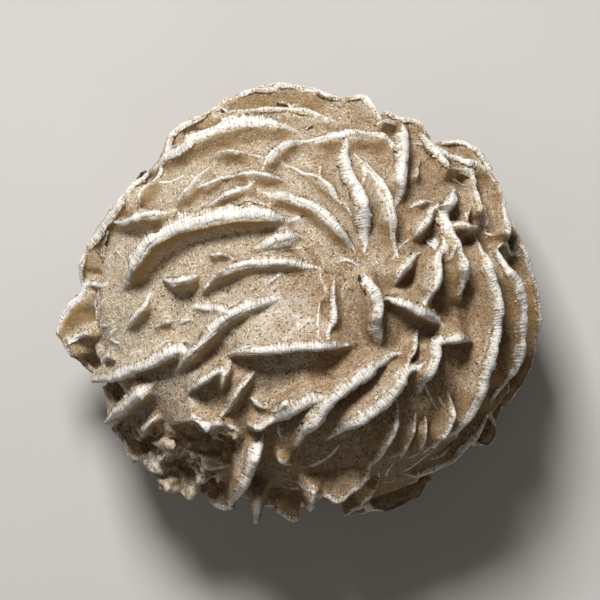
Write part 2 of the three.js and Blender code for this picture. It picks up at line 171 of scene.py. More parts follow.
class SandRoseFinish(bpy.types.PropertyGroup):
    """Colours of the sand and the crystal."""

    sand: bpy.props.FloatVectorProperty(
        name="Sand",
        description="Usual colour of the sand between the blades",
        default=(0.455, 0.38, 0.27),
        size=3,
        min=0,
        max=1,
        subtype="COLOR",
    )
    # Also the colour of the painted shade on the near side, through the stain mask.
    ochre: bpy.props.FloatVectorProperty(
        name="Ochre sand",
        description="Colour of the darker, iron-stained patches of sand",
        default=(0.25, 0.15, 0.068),
        size=3,
        min=0,
        max=1,
        subtype="COLOR",
    )
    # Also painted on faces turned away from the key light, so partly painted shade.
    amber: bpy.props.FloatVectorProperty(
        name="Amber crystal",
        description="Colour of the bare crystal faces under the rims",
        default=(0.34, 0.195, 0.06),
        size=3,
        min=0,
        max=1,
        subtype="COLOR",
    )
    chalk: bpy.props.FloatVectorProperty(
        name="Chalky rim",
        description="Colour of the worn white rims",
        default=(0.87, 0.86, 0.835),
        size=3,
        min=0,
        max=1,
        subtype="COLOR",
    )
    speck: bpy.props.FloatVectorProperty(
        name="Dark speck",
        description="Colour of the dark mineral grains",
        default=(0.075, 0.048, 0.028),
        size=3,
        min=0,
        max=1,
        subtype="COLOR",
    )


class SandRoseGrains(bpy.types.PropertyGroup):
    """The loose grains that stick to the sand."""

    per_piece: bpy.props.IntProperty(
        name="Grains in a piece",
        description="Number of grains in each joined piece",
        default=20000,
        min=100,
    )
    radius: bpy.props.FloatProperty(
        name="Grain radius",
        description="Usual radius of a sand grain",
        default=0.092 * MM,
        precision=6,
        unit="LENGTH",
        subtype="DISTANCE",
    )


class SandRoseStudio(bpy.types.PropertyGroup):
    """The camera and the lights."""

    lens: bpy.props.FloatProperty(
        name="Lens",
        description="Focal length of the camera",
        default=400.0,
        unit="CAMERA",
    )
    field: bpy.props.FloatProperty(
        name="Field",
        description="Width of what the camera sees at the rose's widest line",
        default=73.9 * MM,
        precision=4,
        unit="LENGTH",
        subtype="DISTANCE",
    )
    key_height: bpy.props.FloatProperty(
        name="Key light height",
        description="Angle of the key light above the floor",
        default=math.radians(52),
        unit="ROTATION",
        subtype="ANGLE",
    )
    key_power: bpy.props.FloatProperty(
        name="Key light power",
        description="Power of the key light",
        default=4.3,
        unit="POWER",
    )


# ---------- Ridges ----------

# Each row is one ridge of the upper side: its rim's width and how far it stands above what is round it,
# in mm, how bare its leeward face is, from 0 to 1, and its route as seen from above, in mm from the middle.
# The leeward face is the one turned away from the key light, so its amber colour is partly painted shade.
RIDGES = [
    # the far edge, in overlapping scales
    (0.9, 0.2, 0.0, [(-10.8, 24.4), (-9, 25.4), (-7, 26), (-3.5, 26.9), (-2, 27.2), (0, 26.9), (2, 26.4),
                     (5.4, 25.6)]),
    (0.4, 0.5, 0.0, [(-8.3, 25.5), (-4, 25.2), (-2, 24.9), (0, 24.6), (1.5, 24.6), (2.6, 24)]),
    (0.55, 0.5, 0.0, [(-10.2, 23.3), (-5, 23.8), (-2.5, 23.9), (0.3, 23.9), (2, 23.3), (3.5, 22.4),
                      (6.6, 21.1)]),
    (1.2, 0.3, 0.3, [(-18.3, 16.6), (-16.5, 18), (-14.5, 18.9), (-12.5, 19.8), (-11, 20.9), (-9, 21.6),
                     (-7, 22), (-5, 21.7), (-3.5, 22.2), (-2, 22), (-0.8, 21.5), (0.6, 21.1)]),
    (0.7, 0.2, 0.0, [(-17.9, 17.4), (-16.8, 18.7), (-16, 20.1), (-15, 21.6), (-13.3, 22.7),
                     (-10.8, 24.4)]),
    (0.7, 0.2, 0.0, [(-27, 5), (-26.3, 7.1), (-25, 8.3), (-23.6, 10.1), (-22, 12), (-21, 13.8),
                     (-18.3, 16.6)]),
    (0.55, 0.5, 0.0, [(-19.9, 11.2), (-19.4, 13), (-18.8, 14), (-17.8, 14.6), (-16.9, 15.8),
                      (-15.8, 16.7)]),
    (0.65, 0.3, 0.0, [(-22.8, 9.5), (-21.5, 10.2), (-19.5, 10.7), (-17.5, 10.9), (-15.2, 11.3)]),
    (0.5, 0.5, 0.0, [(-15, 11.7), (-14.4, 13.2), (-13, 14.2), (-11.5, 16), (-10, 17.1)]),
    (0.4, 0.5, 0.0, [(-12.1, 13.1), (-10.8, 14.2), (-9, 15.4), (-7.5, 15.8)]),
    (0.35, 0.4, 0.0, [(-16.9, 14.3), (-15.5, 15.2), (-14, 16.1)]),
    (0.35, 0.4, 0.0, [(-10.2, 18.5), (-8, 18.6), (-5.8, 18.7)]),
    (0.35, 0.4, 0.0, [(-6, 17.9), (-4.6, 18.1), (-3.4, 18)]),
    (0.9, 0.3, 0.0, [(5.6, 25.9), (8, 25.8), (8.8, 25), (9.5, 23.8), (10.4, 22.6)]),
    (0.45, 0.4, 0.0, [(8.6, 21.1), (9.3, 22.0), (10.6, 22.3), (12.4, 22.2)]),
    (0.6, 0.3, 0.0, [(10.6, 24.0), (12, 23.6), (13.2, 22.9), (15.2, 22.4), (16.2, 21.2)]),
    # the knot, where the blades run together
    (0.75, 0.4, 0.0, [(-4.6, 15.7), (-4, 17), (-2.8, 18.4), (-1.4, 19.5), (0, 20.1), (3.5, 20.3),
                      (5, 20.6), (8, 20.8), (9.8, 21), (11.2, 20.3), (12, 18.8), (12.4, 16.5)]),
    (0.4, 0.5, 0.0, [(0.2, 19.3), (2, 19.6), (4.2, 20.1)]),
    (1.0, 0.3, 0.3, [(13.2, 22.5), (13, 20), (12.7, 18), (12.3, 15), (12.1, 13), (11.9, 11.6)]),
    (1.1, 0.3, 0.4, [(4.7, 20.2), (5.6, 18), (6.2, 15.7), (6.9, 13), (7.3, 11), (7.9, 9), (8.1, 7.5),
                     (7.9, 6)]),
    (0.9, 0.3, 0.3, [(8, 17.6), (9, 16), (10.1, 14.6), (10.8, 12.5), (11.2, 9.5), (11.5, 7), (12, 5.4)]),
    (0.55, 0.5, 0.0, [(-2.4, 17.5), (-1.2, 16.5), (0.4, 15.7), (2.8, 15.6), (3.9, 14.3), (4.6, 12.5),
                      (5.9, 9.8)]),
    (0.3, 0.5, 0.0, [(2.6, 17), (2.9, 15.9), (3.1, 15.2)]),
    (0.5, 0.5, 0.0, [(-8.3, 15.4), (-6.8, 15.7), (-5, 15.5), (-3, 15.3), (-1.2, 14.8)]),
    (0.85, 0.35, 0.2, [(-5.4, 13.6), (-3.5, 13.3), (-1.3, 12.9), (0.5, 12.1), (2.2, 11.2), (3.6, 10.3),
                       (5, 9.1), (6.2, 7.9), (6.9, 6.6), (6.8, 5.9)]),
    (0.6, 0.4, 0.0, [(-11.3, 11.7), (-9.8, 12.5), (-8, 13.2), (-6.5, 13.9), (-4.9, 14.2)]),
    (0.5, 0.4, 0.0, [(-9.6, 10.5), (-8.2, 11.5), (-6.5, 12), (-4.5, 11.9), (-2.8, 12.3)]),
    # the long curved blade of the left half, and the small ones round it
    (1.2, 0.3, 1.0, [(-22.3, 1.2), (-21, 3.2), (-19.8, 5), (-18.3, 6.8), (-17, 7.9), (-15.2, 9.1),
                     (-13, 9.8), (-11.2, 9.9), (-8.5, 10.4), (-6, 10.5), (-3.5, 10.5), (-1.2, 10.1),
                     (0.6, 9.9)]),
    (0.9, 0.4, 0.0, [(-5.6, 6.7), (-3.8, 7.2), (-2, 7.8), (-0.4, 8.2), (0.9, 8)]),
    (0.4, 0.4, 0.0, [(-10.8, 5.9), (-9, 6), (-7.6, 5.8)]),
    (0.45, 0.5, 0.0, [(-11.9, 1), (-11, 2.6), (-10, 4), (-8.9, 4.9)]),
    (0.7, 0.4, 0.2, [(-9.5, 3.9), (-8.2, 4.6), (-6, 5), (-4, 5), (-1.8, 5.1), (0, 5), (1.5, 4.6),
                     (2.8, 4.3)]),
    (0.55, 0.5, 0.8, [(-16.6, 3.1), (-15.2, 2.7), (-13.8, 2.9), (-12, 3.5)]),
    (0.5, 0.5, 0.3, [(-17.7, 1.6), (-18.6, -0.6), (-19.4, -1.7), (-20.6, -2.6), (-21.6, -3.7)]),
    (0.4, 0.4, 0.0, [(-17.7, -3), (-16.6, -2.4), (-15, -1.9)]),
    # the blades right of the knot
    (1.3, 0.35, 0.0, [(7.6, 3.8), (8.4, 2.4), (9.4, 0.8), (9.5, -1.2), (9.4, -3), (9.9, -5)]),
    (0.35, 0.4, 0.0, [(4.6, 5), (5.8, 5.3), (7.4, 4.6)]),
    (0.55, 0.4, 0.0, [(4.4, 3.2), (4.2, 1), (4.4, -1.5), (4.3, -3.4), (4.5, -4.9)]),
    (0.3, 0.4, 0.0, [(2.6, 4.5), (2.6, 1.2), (2.3, -1.8), (2.4, -4.4)]),
    (0.9, 0.3, 0.5, [(9.9, 1), (11.3, 0.6), (12.6, -0.1), (14.5, -0.9), (16.2, -1.6), (18, -2.3)]),
    (0.9, 0.3, 0.0, [(16.6, 8.4), (16.8, 6.5), (16.5, 4.2), (16, 2), (15.4, 0.2), (15, -1)]),
    (0.4, 0.4, 0.0, [(18.3, 8.2), (18, 6.6), (17.5, 5)]),
    (1.0, 0.3, 0.0, [(19.4, 14.3), (18.8, 13), (18, 11.8), (17.6, 10.7), (18.1, 9.3), (19, 7.8),
                     (19.6, 6), (20.1, 4.2), (20.1, 2.4), (19.2, 1)]),
    (0.4, 0.4, 0.0, [(20, 3), (19.9, 1.5), (19.7, 0)]),
    (0.65, 0.3, 0.0, [(16.9, 12.5), (15.8, 10.3), (14.5, 8.6), (13.5, 7.6)]),
    (0.6, 0.3, 0.0, [(14.6, 6.8), (13, 5), (11.8, 3.8), (10.8, 2.3)]),
    (0.45, 0.5, 0.0, [(13.4, 11.7), (14.8, 12.3), (16.7, 12.8)]),
    (0.5, 0.4, 0.3, [(18.4, 10.1), (20, 9.9), (22.3, 9.5)]),
    (0.3, 0.4, 0.0, [(14.5, 17.9), (14.7, 16.5), (14.2, 14.8)]),
    (0.3, 0.4, 0.0, [(20.2, 11.9), (20.5, 11.2), (20.6, 10.5)]),
    # the right edge, in long nested rims
    (0.75, 0.3, 0.3, [(15, 21.5), (16.2, 20), (16.8, 18.9), (17.8, 17.6), (18.5, 16.7)]),
    (0.8, 0.3, 0.0, [(14.7, 19.2), (15.5, 18.6), (17, 18.4), (18.4, 18.4), (20, 17.8), (21.8, 17.5),
                     (23.2, 16.6), (24.2, 15.4), (25, 13.6)]),
    (0.6, 0.4, 0.0, [(18.5, 15.9), (19.6, 16), (20.7, 15.3), (21.6, 14.3), (21.9, 12.8), (22.5, 10)]),
    (0.9, 0.2, 0.0, [(17.6, 20.5), (19.3, 20.5), (21, 20), (22.4, 19.2), (23.4, 17.6), (24.3, 16),
                     (24.8, 14.4)]),
    (0.8, 0.3, 0.0, [(25.2, 12.7), (25.6, 10.5), (26, 9.2), (25.6, 7.8)]),
    (0.5, 0.5, 0.0, [(23.8, 7.1), (25, 7.1), (26, 6), (26.9, 5.1)]),
    (0.7, 0.2, 0.0, [(25.4, 13.6), (26.2, 11.2), (27, 8.6), (28, 5.9), (29, 3.2), (29.6, 1), (29.9, -1.5),
                     (29.7, -4), (29.4, -5.9)]),
    (1.1, 0.3, 0.2, [(24.2, 7.0), (25, 5), (25.8, 3.4), (26.8, 2), (27.5, 0.2), (27.9, -2), (28, -4.4),
                     (27.6, -6.4), (26.7, -8), (26.2, -9.4), (25.3, -10.7), (23.8, -12.2)]),
    (1.3, 0.3, 0.4, [(21.6, 8.7), (22.6, 6.4), (23.3, 4.4), (23.9, 2), (24.3, 0), (24.3, -2), (23.6, -4),
                     (23.3, -6), (22.5, -7.6), (22.1, -9.5), (22, -11.6), (21, -13.6), (19.3, -16.6),
                     (18.2, -17.8)]),
    (0.5, 0.2, 0.0, [(29.2, -6.2), (28.6, -8), (27, -10.3), (25.9, -12.2)]),
    (0.5, 0.2, 0.0, [(24.4, -13), (24.3, -16), (23.9, -17.4), (22.4, -17.7), (20, -18.1)]),
    (0.7, 0.3, 0.2, [(23.7, -13.1), (22.6, -15.4), (21, -17.2), (19.6, -18.6), (17, -20.2),
                     (12.6, -21.6)]),
    # the near right quarter
    (1.1, 0.3, 0.3, [(16.6, -3.6), (16.8, -5.2), (16.2, -7), (15.4, -8.4), (15, -9.6), (14.3, -10.7)]),
    (0.8, 0.3, 0.3, [(16.9, -4.7), (18.5, -4.4), (20, -4.3), (21.3, -4.3)]),
    (0.5, 0.4, 0.0, [(14.5, -2.9), (14, -4.6), (13.2, -6.2), (12.4, -7.4)]),
    (1.2, 0.3, 0.4, [(14.6, -6.2), (13.2, -8), (11.8, -10.2), (10, -11.8), (8.2, -13.1), (6.2, -14.6),
                     (3.2, -16.6)]),
    (0.55, 0.5, 0.2, [(12, -11.3), (11.6, -13.5), (11, -15.6), (10.3, -17.6), (9.4, -19.4), (8.2, -21.4),
                      (6.6, -23.1), (5.6, -23.9)]),
    (0.45, 0.5, 0.0, [(14.2, -13), (14, -14.8), (13.4, -16.6), (12.6, -18.4), (11.8, -19.6)]),
    (0.4, 0.5, 0.0, [(15.3, -13.4), (15.5, -14.8), (15.2, -16.6), (14.7, -18.4), (14.1, -19.4)]),
    (0.6, 0.5, 0.0, [(18, -10.4), (18.5, -12), (18.5, -14), (17.9, -15.8), (17, -17.3), (15.6, -19.2)]),
    (0.3, 0.4, 0.0, [(16.9, -11), (17, -11.8), (17, -12.6)]),
    (0.6, 0.3, 0.2, [(2.2, -22.6), (3, -23.6), (4.2, -24.4), (5.6, -24), (6.6, -23.1)]),
    (0.4, 0.3, 0.0, [(10.6, -20.6), (10, -22.3), (9, -23.8), (8.2, -24.8), (7.8, -25.6)]),
    (1.0, 0.3, 0.0, [(15.8, -22.3), (14.4, -24), (12.5, -24.9), (10, -25.4), (7.8, -25.5), (5.8, -25.9)]),
    # the middle and the near left quarter
    (1.0, 0.4, 0.0, [(-13, -0.3), (-10.5, -0.5), (-8, -0.4), (-6, 0), (-4, 0.2), (-2, 0.9)]),
    (0.8, 0.4, 0.5, [(-12.4, -4.9), (-11, -3.6), (-10, -2.6), (-8.8, -1.6), (-7.4, -0.9), (-5.4, -0.7),
                     (-3.4, -0.3)]),
    (0.9, 0.3, 1.0, [(-9.4, -6.1), (-7.2, -5.7), (-5, -5.6), (-2.6, -5.5), (0, -5.2), (2.4, -5.2),
                     (6.4, -4.9)]),
    (1.2, 0.3, 1.0, [(-25.8, -9.4), (-24, -9.4), (-22.4, -9), (-20.4, -8.2), (-19, -7.6), (-17.4, -6.9),
                     (-15.8, -5.9), (-14, -5.2), (-12.4, -4.4)]),
    (0.5, 0.5, 0.5, [(-15.3, -8.7), (-14, -7), (-12.6, -5.6), (-11, -4.2), (-9.6, -3.2)]),
    (0.9, 0.3, 0.7, [(-23.9, -14.6), (-22.6, -13.4), (-20.9, -12.3), (-19.6, -11), (-18, -10),
                     (-17, -9.1)]),
    (0.5, 0.3, 0.0, [(-24, -10.4), (-23.4, -12), (-23.6, -13.8)]),
    (0.6, 0.3, 0.3, [(-14.0, -10.9), (-12.8, -10.2), (-11, -9), (-9.4, -7.8), (-8.2, -6.8)]),
    (0.5, 0.4, 0.0, [(-9.4, -10.6), (-8.9, -9.2), (-8.2, -7.8), (-7.6, -7)]),
    (0.5, 0.4, 0.0, [(-9.9, -14), (-8.7, -12.8), (-7.6, -11), (-6.2, -9.2), (-5.1, -7.9)]),
    (0.6, 0.4, 0.0, [(-6, -11), (-4.8, -11.9), (-3.6, -12.6)]),
    (0.5, 0.4, 0.0, [(-1.8, -10.9), (-2.8, -12), (-3.6, -12.9)]),
    (1.1, 0.3, 0.6, [(12.3, -5.2), (10.4, -6.2), (8.8, -7), (7.6, -8.2), (6.2, -9), (4.8, -10),
                     (3.4, -11.2), (2.2, -13), (1, -14.6), (0.2, -16.2), (-0.6, -17.4)]),
    (1.7, 0.1, 0.0, [(2.9, -12.0), (1.8, -13.9), (0.9, -15.8)]),
    (1.1, 0.3, 0.5, [(3.4, -10.2), (1.8, -10.9), (0, -11.8), (-1.4, -12.8), (-2.8, -13.8), (-4.4, -14.4),
                     (-6.4, -14.6)]),
    (1.1, 0.3, 0.4, [(-4.0, -15.8), (-4.8, -17.2), (-5.4, -19), (-6.2, -21), (-7.2, -23), (-8.3, -24.7)]),
    (0.6, 0.3, 0.2, [(-4.7, -22.2), (-5, -24), (-5.2, -26), (-5.2, -27.2)]),
    (0.4, 0.4, 0.0, [(2, -21.8), (1.9, -23.6), (1.4, -25.2)]),
    (0.4, 0.4, 0.0, [(1.6, -21.3), (0, -21.9), (-1.8, -22.2)]),
    (0.4, 0.3, 0.0, [(-2.4, -25.2), (-1.4, -26.2), (0.4, -26.6)]),
    # the left edge and the roof of the broken hollow
    (1.0, 0.3, 1.0, [(-29.9, -4.2), (-30, -2.8), (-28.9, -1), (-27.6, 0.4), (-26, 1.6), (-25, 2.4),
                     (-23.6, 3.4)]),
    (0.6, 0.3, 0.0, [(-26.4, 1.6), (-26.9, 3.4), (-27, 5), (-26.4, 6.8)]),
    (0.5, 0.5, 0.3, [(-27.8, -3.2), (-26.8, -3.7), (-25.6, -3.3), (-24.9, -3.3)]),
    (0.5, 0.5, 0.3, [(-27.6, -5.6), (-27, -4.6), (-26.2, -3.8)]),
    (0.5, 0.5, 0.4, [(-24.3, -8.4), (-24.1, -6.6), (-23.4, -5.7), (-22.4, -6.6), (-22.2, -7.8)]),
    (0.4, 0.2, 0.0, [(-29.6, -4.4), (-28, -6.4), (-26.6, -7.8), (-25.8, -9.2)]),
    (0.6, 0.3, 1.0, [(-15.4, -14.3), (-14, -13.6), (-12.6, -13), (-11.4, -13.8), (-10.6, -14.7),
                     (-9.4, -14.2), (-6.8, -14.5)]),
    (0.4, 0.4, 0.0, [(-19.2, -15.8), (-18.4, -14.8), (-17.2, -13.6)]),
    (0.5, 0.4, 0.0, [(-18.4, -19), (-17.2, -18.9), (-16.6, -18.4)]),
    (0.7, 0.3, 0.0, [(-17.2, -22), (-16, -22.6), (-14.8, -23), (-13.8, -23)]),
    (0.6, 0.3, 0.0, [(-13.2, -23.4), (-12, -23.9), (-11, -23)]),
    (0.4, 0.4, 0.0, [(-16.6, -19.6), (-16.2, -18.4), (-15.9, -17.2)]),
    (0.5, 0.2, 0.0, [(-23.4, -15.1), (-22, -16), (-21.4, -17.4), (-20, -18.8), (-18.6, -20),
                     (-17.6, -21.6)]),
]


# ---------- Random fields ----------


def lattice_noise(points, cell, seed):
    """Smooth random values from -1 to 1 at the points, in bumps about one cell wide."""
    grid = points / cell
    corner = np.floor(grid).astype(np.int64)
    share = grid - corner
    share = share * share * (3 - 2 * share)
    total = np.zeros(len(points))
    for step in itertools.product((0, 1), repeat=3):
        x, y, z = (corner + step).T
        mixed = (x * 73856093) ^ (y * 19349663) ^ (z * 83492791) ^ (seed * 40503)
        mixed = ((mixed ^ (mixed >> 13)) * 1274126177) & 0x7FFFFFFF
        value = ((mixed ^ (mixed >> 16)) & 0xFFFF) / 32767.5 - 1
        weight = np.prod(np.where(step, share, 1 - share), axis=1)
        total += weight * value
    return total


def layered_noise(points, cell, seed, layers=3):
    """Noise with finer and fainter layers added."""
    total = np.zeros(len(points))
    for layer in range(layers):
        total += lattice_noise(points, cell / 2**layer, seed + layer) / 2**layer
    return total / (2 - 0.5 ** (layers - 1))


def ramp(values, low, high):
    """0 below low, 1 above high, smooth between; low may be above high."""
    share = np.clip((values - low) / (high - low), 0, 1)
    return share * share * (3 - 2 * share)


# ---------- Mesh helpers ----------


def mesh_arrays(mesh):
    """Vertex places, vertex normals and edges of a mesh."""
    places = np.empty(len(mesh.vertices) * 3)
    mesh.vertices.foreach_get("co", places)
    normals = np.empty(len(mesh.vertices) * 3)
    mesh.vertex_normals.foreach_get("vector", normals)
    edges = np.empty(len(mesh.edges) * 2, dtype=np.int64)
    mesh.edges.foreach_get("vertices", edges)
    return places.reshape(-1, 3), normals.reshape(-1, 3), edges.reshape(-1, 2)


def set_places(mesh, places):
    mesh.vertices.foreach_set("co", places.ravel())
    mesh.update()


def neighbour_mean(values, edges, count):
    """For each vertex, the mean of values at the vertices that it shares an edge with."""
    near = np.zeros((len(count), values.shape[1]))
    for column in range(values.shape[1]):
        near[:, column] += np.bincount(edges[:, 0], values[edges[:, 1], column], len(count))
        near[:, column] += np.bincount(edges[:, 1], values[edges[:, 0], column], len(count))
    return near / count[:, None]


def smoothed(values, edges, rounds, strength):
    """values after some rounds of moving each towards its neighbours' mean, by strength from 0 to 1."""
    total = len(values)
    count = np.bincount(edges.ravel(), minlength=total).astype(float)
    count[count == 0] = 1
    for _ in range(rounds):
        values = values + strength[:, None] * (neighbour_mean(values, edges, count) - values)
    return values


def store(mesh, name, values):
    """Keeps a number for each vertex under a name that materials read."""
    layer = mesh.attributes.new(name, "FLOAT", "POINT")
    layer.data.foreach_set("value", values.astype(np.float32))


def store_vector(mesh, name, values):
    layer = mesh.attributes.new(name, "FLOAT_VECTOR", "POINT")
    layer.data.foreach_set("vector", values.astype(np.float32).ravel())


def new_piece(name, mesh, material):
    """An object at the origin that rides on the rose's body and takes the rose's finish."""
    mesh.name = name
    piece = bpy.data.objects.new(name, mesh)
    bpy.context.scene.collection.objects.link(piece)
    mesh.materials.clear()
    mesh.materials.append(material)
    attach(piece, BODY)
    return piece


# ---------- Reading the solid ----------


def solid_copy():
    """A copy of the rose's solid as a bmesh with shared vertices."""
    shape = bmesh.new()
    shape.from_mesh(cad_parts[NODE].data)
    bmesh.ops.remove_doubles(shape, verts=shape.verts, dist=0.002 * MM)
    bmesh.ops.triangulate(shape, faces=shape.faces)
    shape.faces.ensure_lookup_table()
    shape.edges.ensure_lookup_table()
    return shape


def is_corner(edge, degrees=36):
    """Whether the surface turns sharply outwards at an edge."""
    return edge.is_convex and len(edge.link_faces) == 2 and edge.calc_face_angle(0) > math.radians(degrees)


def rim_faces(shape, widest=1.9 * MM, facing=0.62, flat_height=0.3 * MM):
    """Faces of the rims: narrow strips that face out of the rose and end at an outward corner."""
    rims = []
    for face in shape.faces:
        middle = face.calc_center_median()
        corners = [edge.calc_length() for edge in face.edges if is_corner(edge)]
        if not corners or middle.z < flat_height or 2 * face.calc_area() / max(corners) > widest:
            continue
        out = Vector(core_outward(np.array([middle]))[0])
        if middle.z > BLADES_STAND_ABOVE:
            out = (out + Vector((0, 0, UPRIGHT))).normalized()
        if face.normal.dot(out) > facing:
            rims.append(face)
    return rims


def outline(face):
    return [vert.co.copy() for vert in face.verts]


def rim_tree(outlines):
    """A search tree of the rims' faces."""
    corners = [corner for face in outlines for corner in face]
    starts = itertools.accumulate((len(face) for face in outlines), initial=0)
    polygons = [tuple(range(start, start + len(face))) for start, face in zip(starts, outlines)]
    return BVHTree.FromPolygons(corners, polygons)


def core_outward(places):
    """Direction out of the rose's middle, with its flattened shape taken into account."""
    half = np.array([WIDTH, DEPTH, HEIGHT]) / 2
    away = (places - np.array(CENTRE)) / half**2
    return unit_rows(away)


# ---------- Crest lines ----------

# The top line of one blade: its places, the way it stands there, half its rim's width, the depth of its
# wall below the rim, and how bare its leeward face is.
# The bare leeward face is turned away from the key light, so its amber is partly painted shade.
Crest = namedtuple("Crest", "tops standing half depth bare")


def unit_rows(vectors):
    return vectors / np.maximum(np.linalg.norm(vectors, axis=1), 1e-12)[:, None]


def even_out(values, rounds):
    """values after rounds of averaging each with the ones before and after it."""
    values = np.asarray(values, dtype=float)
    for _ in range(rounds):
        padded = np.concatenate([values[:1], values, values[-1:]])
        values = (padded[:-2] + 2 * values + padded[2:]) / 4
    return values


def resampled(line, spacing, *others):
    """A line with even spacing, and other values along it taken at the same places."""
    gone = np.insert(np.cumsum(np.linalg.norm(np.diff(line, axis=0), axis=1)), 0, 0)
    wanted = np.linspace(0, gone[-1], max(5, round(gone[-1] / spacing) + 1))
    results = []
    for values in (line, *others):
        columns = values.reshape(len(values), -1).T
        new = np.column_stack([np.interp(wanted, gone, column) for column in columns])
        results.append(new if values.ndim > 1 else new[:, 0])
    return results


def smooth_route(points, spacing):
    """Evenly spaced places on a smooth curve through the points."""
    route = np.array(points, dtype=float)
    padded = np.vstack([2 * route[0] - route[1], route, 2 * route[-1] - route[-2]])
    share = np.linspace(0, 1, 12, endpoint=False)[:, None]
    dense = []
    for a, b, c, d in zip(padded, padded[1:], padded[2:], padded[3:]):
        second = (2 * a - 5 * b + 4 * c - d) * share**2
        third = (3 * b - a - 3 * c + d) * share**3
        dense.append(0.5 * (2 * b + (c - a) * share + second + third))
    return resampled(np.vstack([*dense, route[-1:]]), spacing)[0]


def wander(count, step, reach, chance):
    """Smooth random values for count places, turning about every step places, usually within reach."""
    knots = [chance.gauss(0, reach) for _ in range(int(count / step) + 3)]
    start = chance.random()
    return np.interp(start + np.arange(count) / step, range(len(knots)), knots)


def surface_height(surface, x, y):
    """Height of the surface under a place, or None beyond its edge."""
    hit = surface.ray_cast(Vector((x, y, CAD_HIGH.z + 0.01)), Vector((0, 0, -1)))[0]
    return hit.z if hit else None


def crest_shift(surface, spot, side, reach=0.8 * MM, steps=9):
    """How far sideways of a spot the highest line of the blade under it lies."""
    outward = core_outward(np.array([[*spot, CAD_LOW.z + 0.7 * HEIGHT]]))[0]
    best, best_score = 0.0, -math.inf
    for shift in np.linspace(-reach, reach, steps):
        x, y = spot + side * shift
        height = surface_height(surface, x, y)
        if height is None:
            continue
        score = shift * (side @ outward[:2]) + height * outward[2] - 0.25 * abs(shift)
        if score > best_score:
            best, best_score = shift, score
    return best


def standing_at(places):
    """The way blades stand: out of the middle, and partly upwards on the upper side."""
    lift = np.where(places[:, 2:] > BLADES_STAND_ABOVE, UPRIGHT, 0.0)
    return unit_rows(core_outward(places) + lift * np.array([0, 0, 1.0]))


def ridge_crest(surface, row, chance, spacing=0.5):
    """The crest of one of the RIDGES, laid on the solid."""
    width, stand, bare, route = row
    plan = smooth_route(route, spacing) * MM + np.array(CENTRE)[:2]
    way = unit_rows(np.gradient(plan, axis=0))
    side = np.column_stack([-way[:, 1], way[:, 0]])
    shifts = even_out([crest_shift(surface, spot, across) for spot, across in zip(plan, side)], 2)
    plan = plan + side * shifts[:, None]
    heights = [surface_height(surface, *spot) for spot in plan]
    found = [i for i, height in enumerate(heights) if height is not None]
    if len(found) < 5:
        return None
    plan = plan[found]
    height = np.array([heights[i] for i in found])
    for _ in range(2):
        height = np.maximum(height, even_out(height, 3))
    return made_crest(np.column_stack([plan, height]), width / 2 * MM, stand * MM, bare, chance)


def made_crest(line, half, stand, bare, chance):
    """A crest that stands above a line, and thins and sinks towards its ends."""
    count = len(line)
    share = np.abs(np.linspace(-1, 1, count))
    fade = share**4
    standing = standing_at(line)
    rise = stand * (1 - fade) - 0.15 * MM * fade + wander(count, 2, 0.07 * MM, chance) * (1 - fade)
    half = half * (1 - 0.8 * share**3) * (1 + wander(count, 2, 0.12, chance))
    return Crest(line + standing * rise[:, None], standing, half, rise + 1.0 * MM, bare)


def face_groups(faces):
    """The faces in groups that touch each other."""
    left = set(faces)
    while left:
        group, edge_of_group = [], [left.pop()]
        while edge_of_group:
            face = edge_of_group.pop()
            group.append(face)
            near = {other for vert in face.verts for other in vert.link_faces if other in left}
            left -= near
            edge_of_group.extend(near)
        yield group


def strip_line(group, spacing=0.6 * MM):
    """The middle line of a narrow strip of faces, and the strip's usual width."""
    spots = []
    for face in group:
        a, b, c = (np.array(vert.co) for vert in face.verts)
        n = max(2, int(max(edge.calc_length() for edge in face.edges) / (0.35 * MM)))
        spots += [(a * i + b * j + c * (n - i - j)) / n for i in range(n + 1) for j in range(n + 1 - i)]
    spots = np.array(spots)
    middle = spots.mean(axis=0)
    along = (spots - middle) @ np.linalg.svd(spots - middle, full_matrices=False)[2][0]
    bins = ((along - along.min()) / spacing).astype(int)
    line = np.array([spots[bins == i].mean(axis=0) for i in np.unique(bins)])
    area = sum(face.calc_area() for face in group)
    return line, area / max(np.ptp(along), spacing)


def strip_crests(shape, covered, chance, shortest=2.5 * MM):
    """Crests of the solid's rims that no other crest lies on."""
    crests = []
    for group in face_groups(rim_faces(shape)):
        line, width = strip_line(group)
        if len(line) < 4 or np.linalg.norm(line[-1] - line[0]) < shortest:
            continue
        gaps = np.array([covered.find(place)[2] for place in line])
        line = line[gaps > 0.9 * MM]
        if len(line) < 5 or np.linalg.norm(np.diff(line, axis=0), axis=1).max() > 3 * MM:
            continue
        line = smooth_route(line / MM, 0.5) * MM
        crests.append(made_crest(line, min(width, 1.1 * MM) / 2, 0.1 * MM, 0.3, chance))
    return crests


def point_tree(places):
    tree = kdtree.KDTree(len(places))
    for i, place in enumerate(places):
        tree.insert(place, i)
    tree.balance()
    return tree


def crest_points(crests, spacing=0.25 * MM):
    """Points along the crests: places, ways along, half widths and bareness."""
    places, ways, halves, bare_and_shaded_amounts = [], [], [], []
    for crest in crests:
        tops, half = resampled(crest.tops, spacing, crest.half)
        way = unit_rows(np.gradient(tops, axis=0))
        turned = way[:, 0] + 0.3 * way[:, 1] < 0
        way[turned] *= -1
        places.append(tops)
        ways.append(way)
        halves.append(half)
        bare_and_shaded_amounts.append(even(len(tops), crest.bare))
    return np.vstack(places), np.vstack(ways), np.concatenate(halves), np.concatenate(bare_and_shaded_amounts)


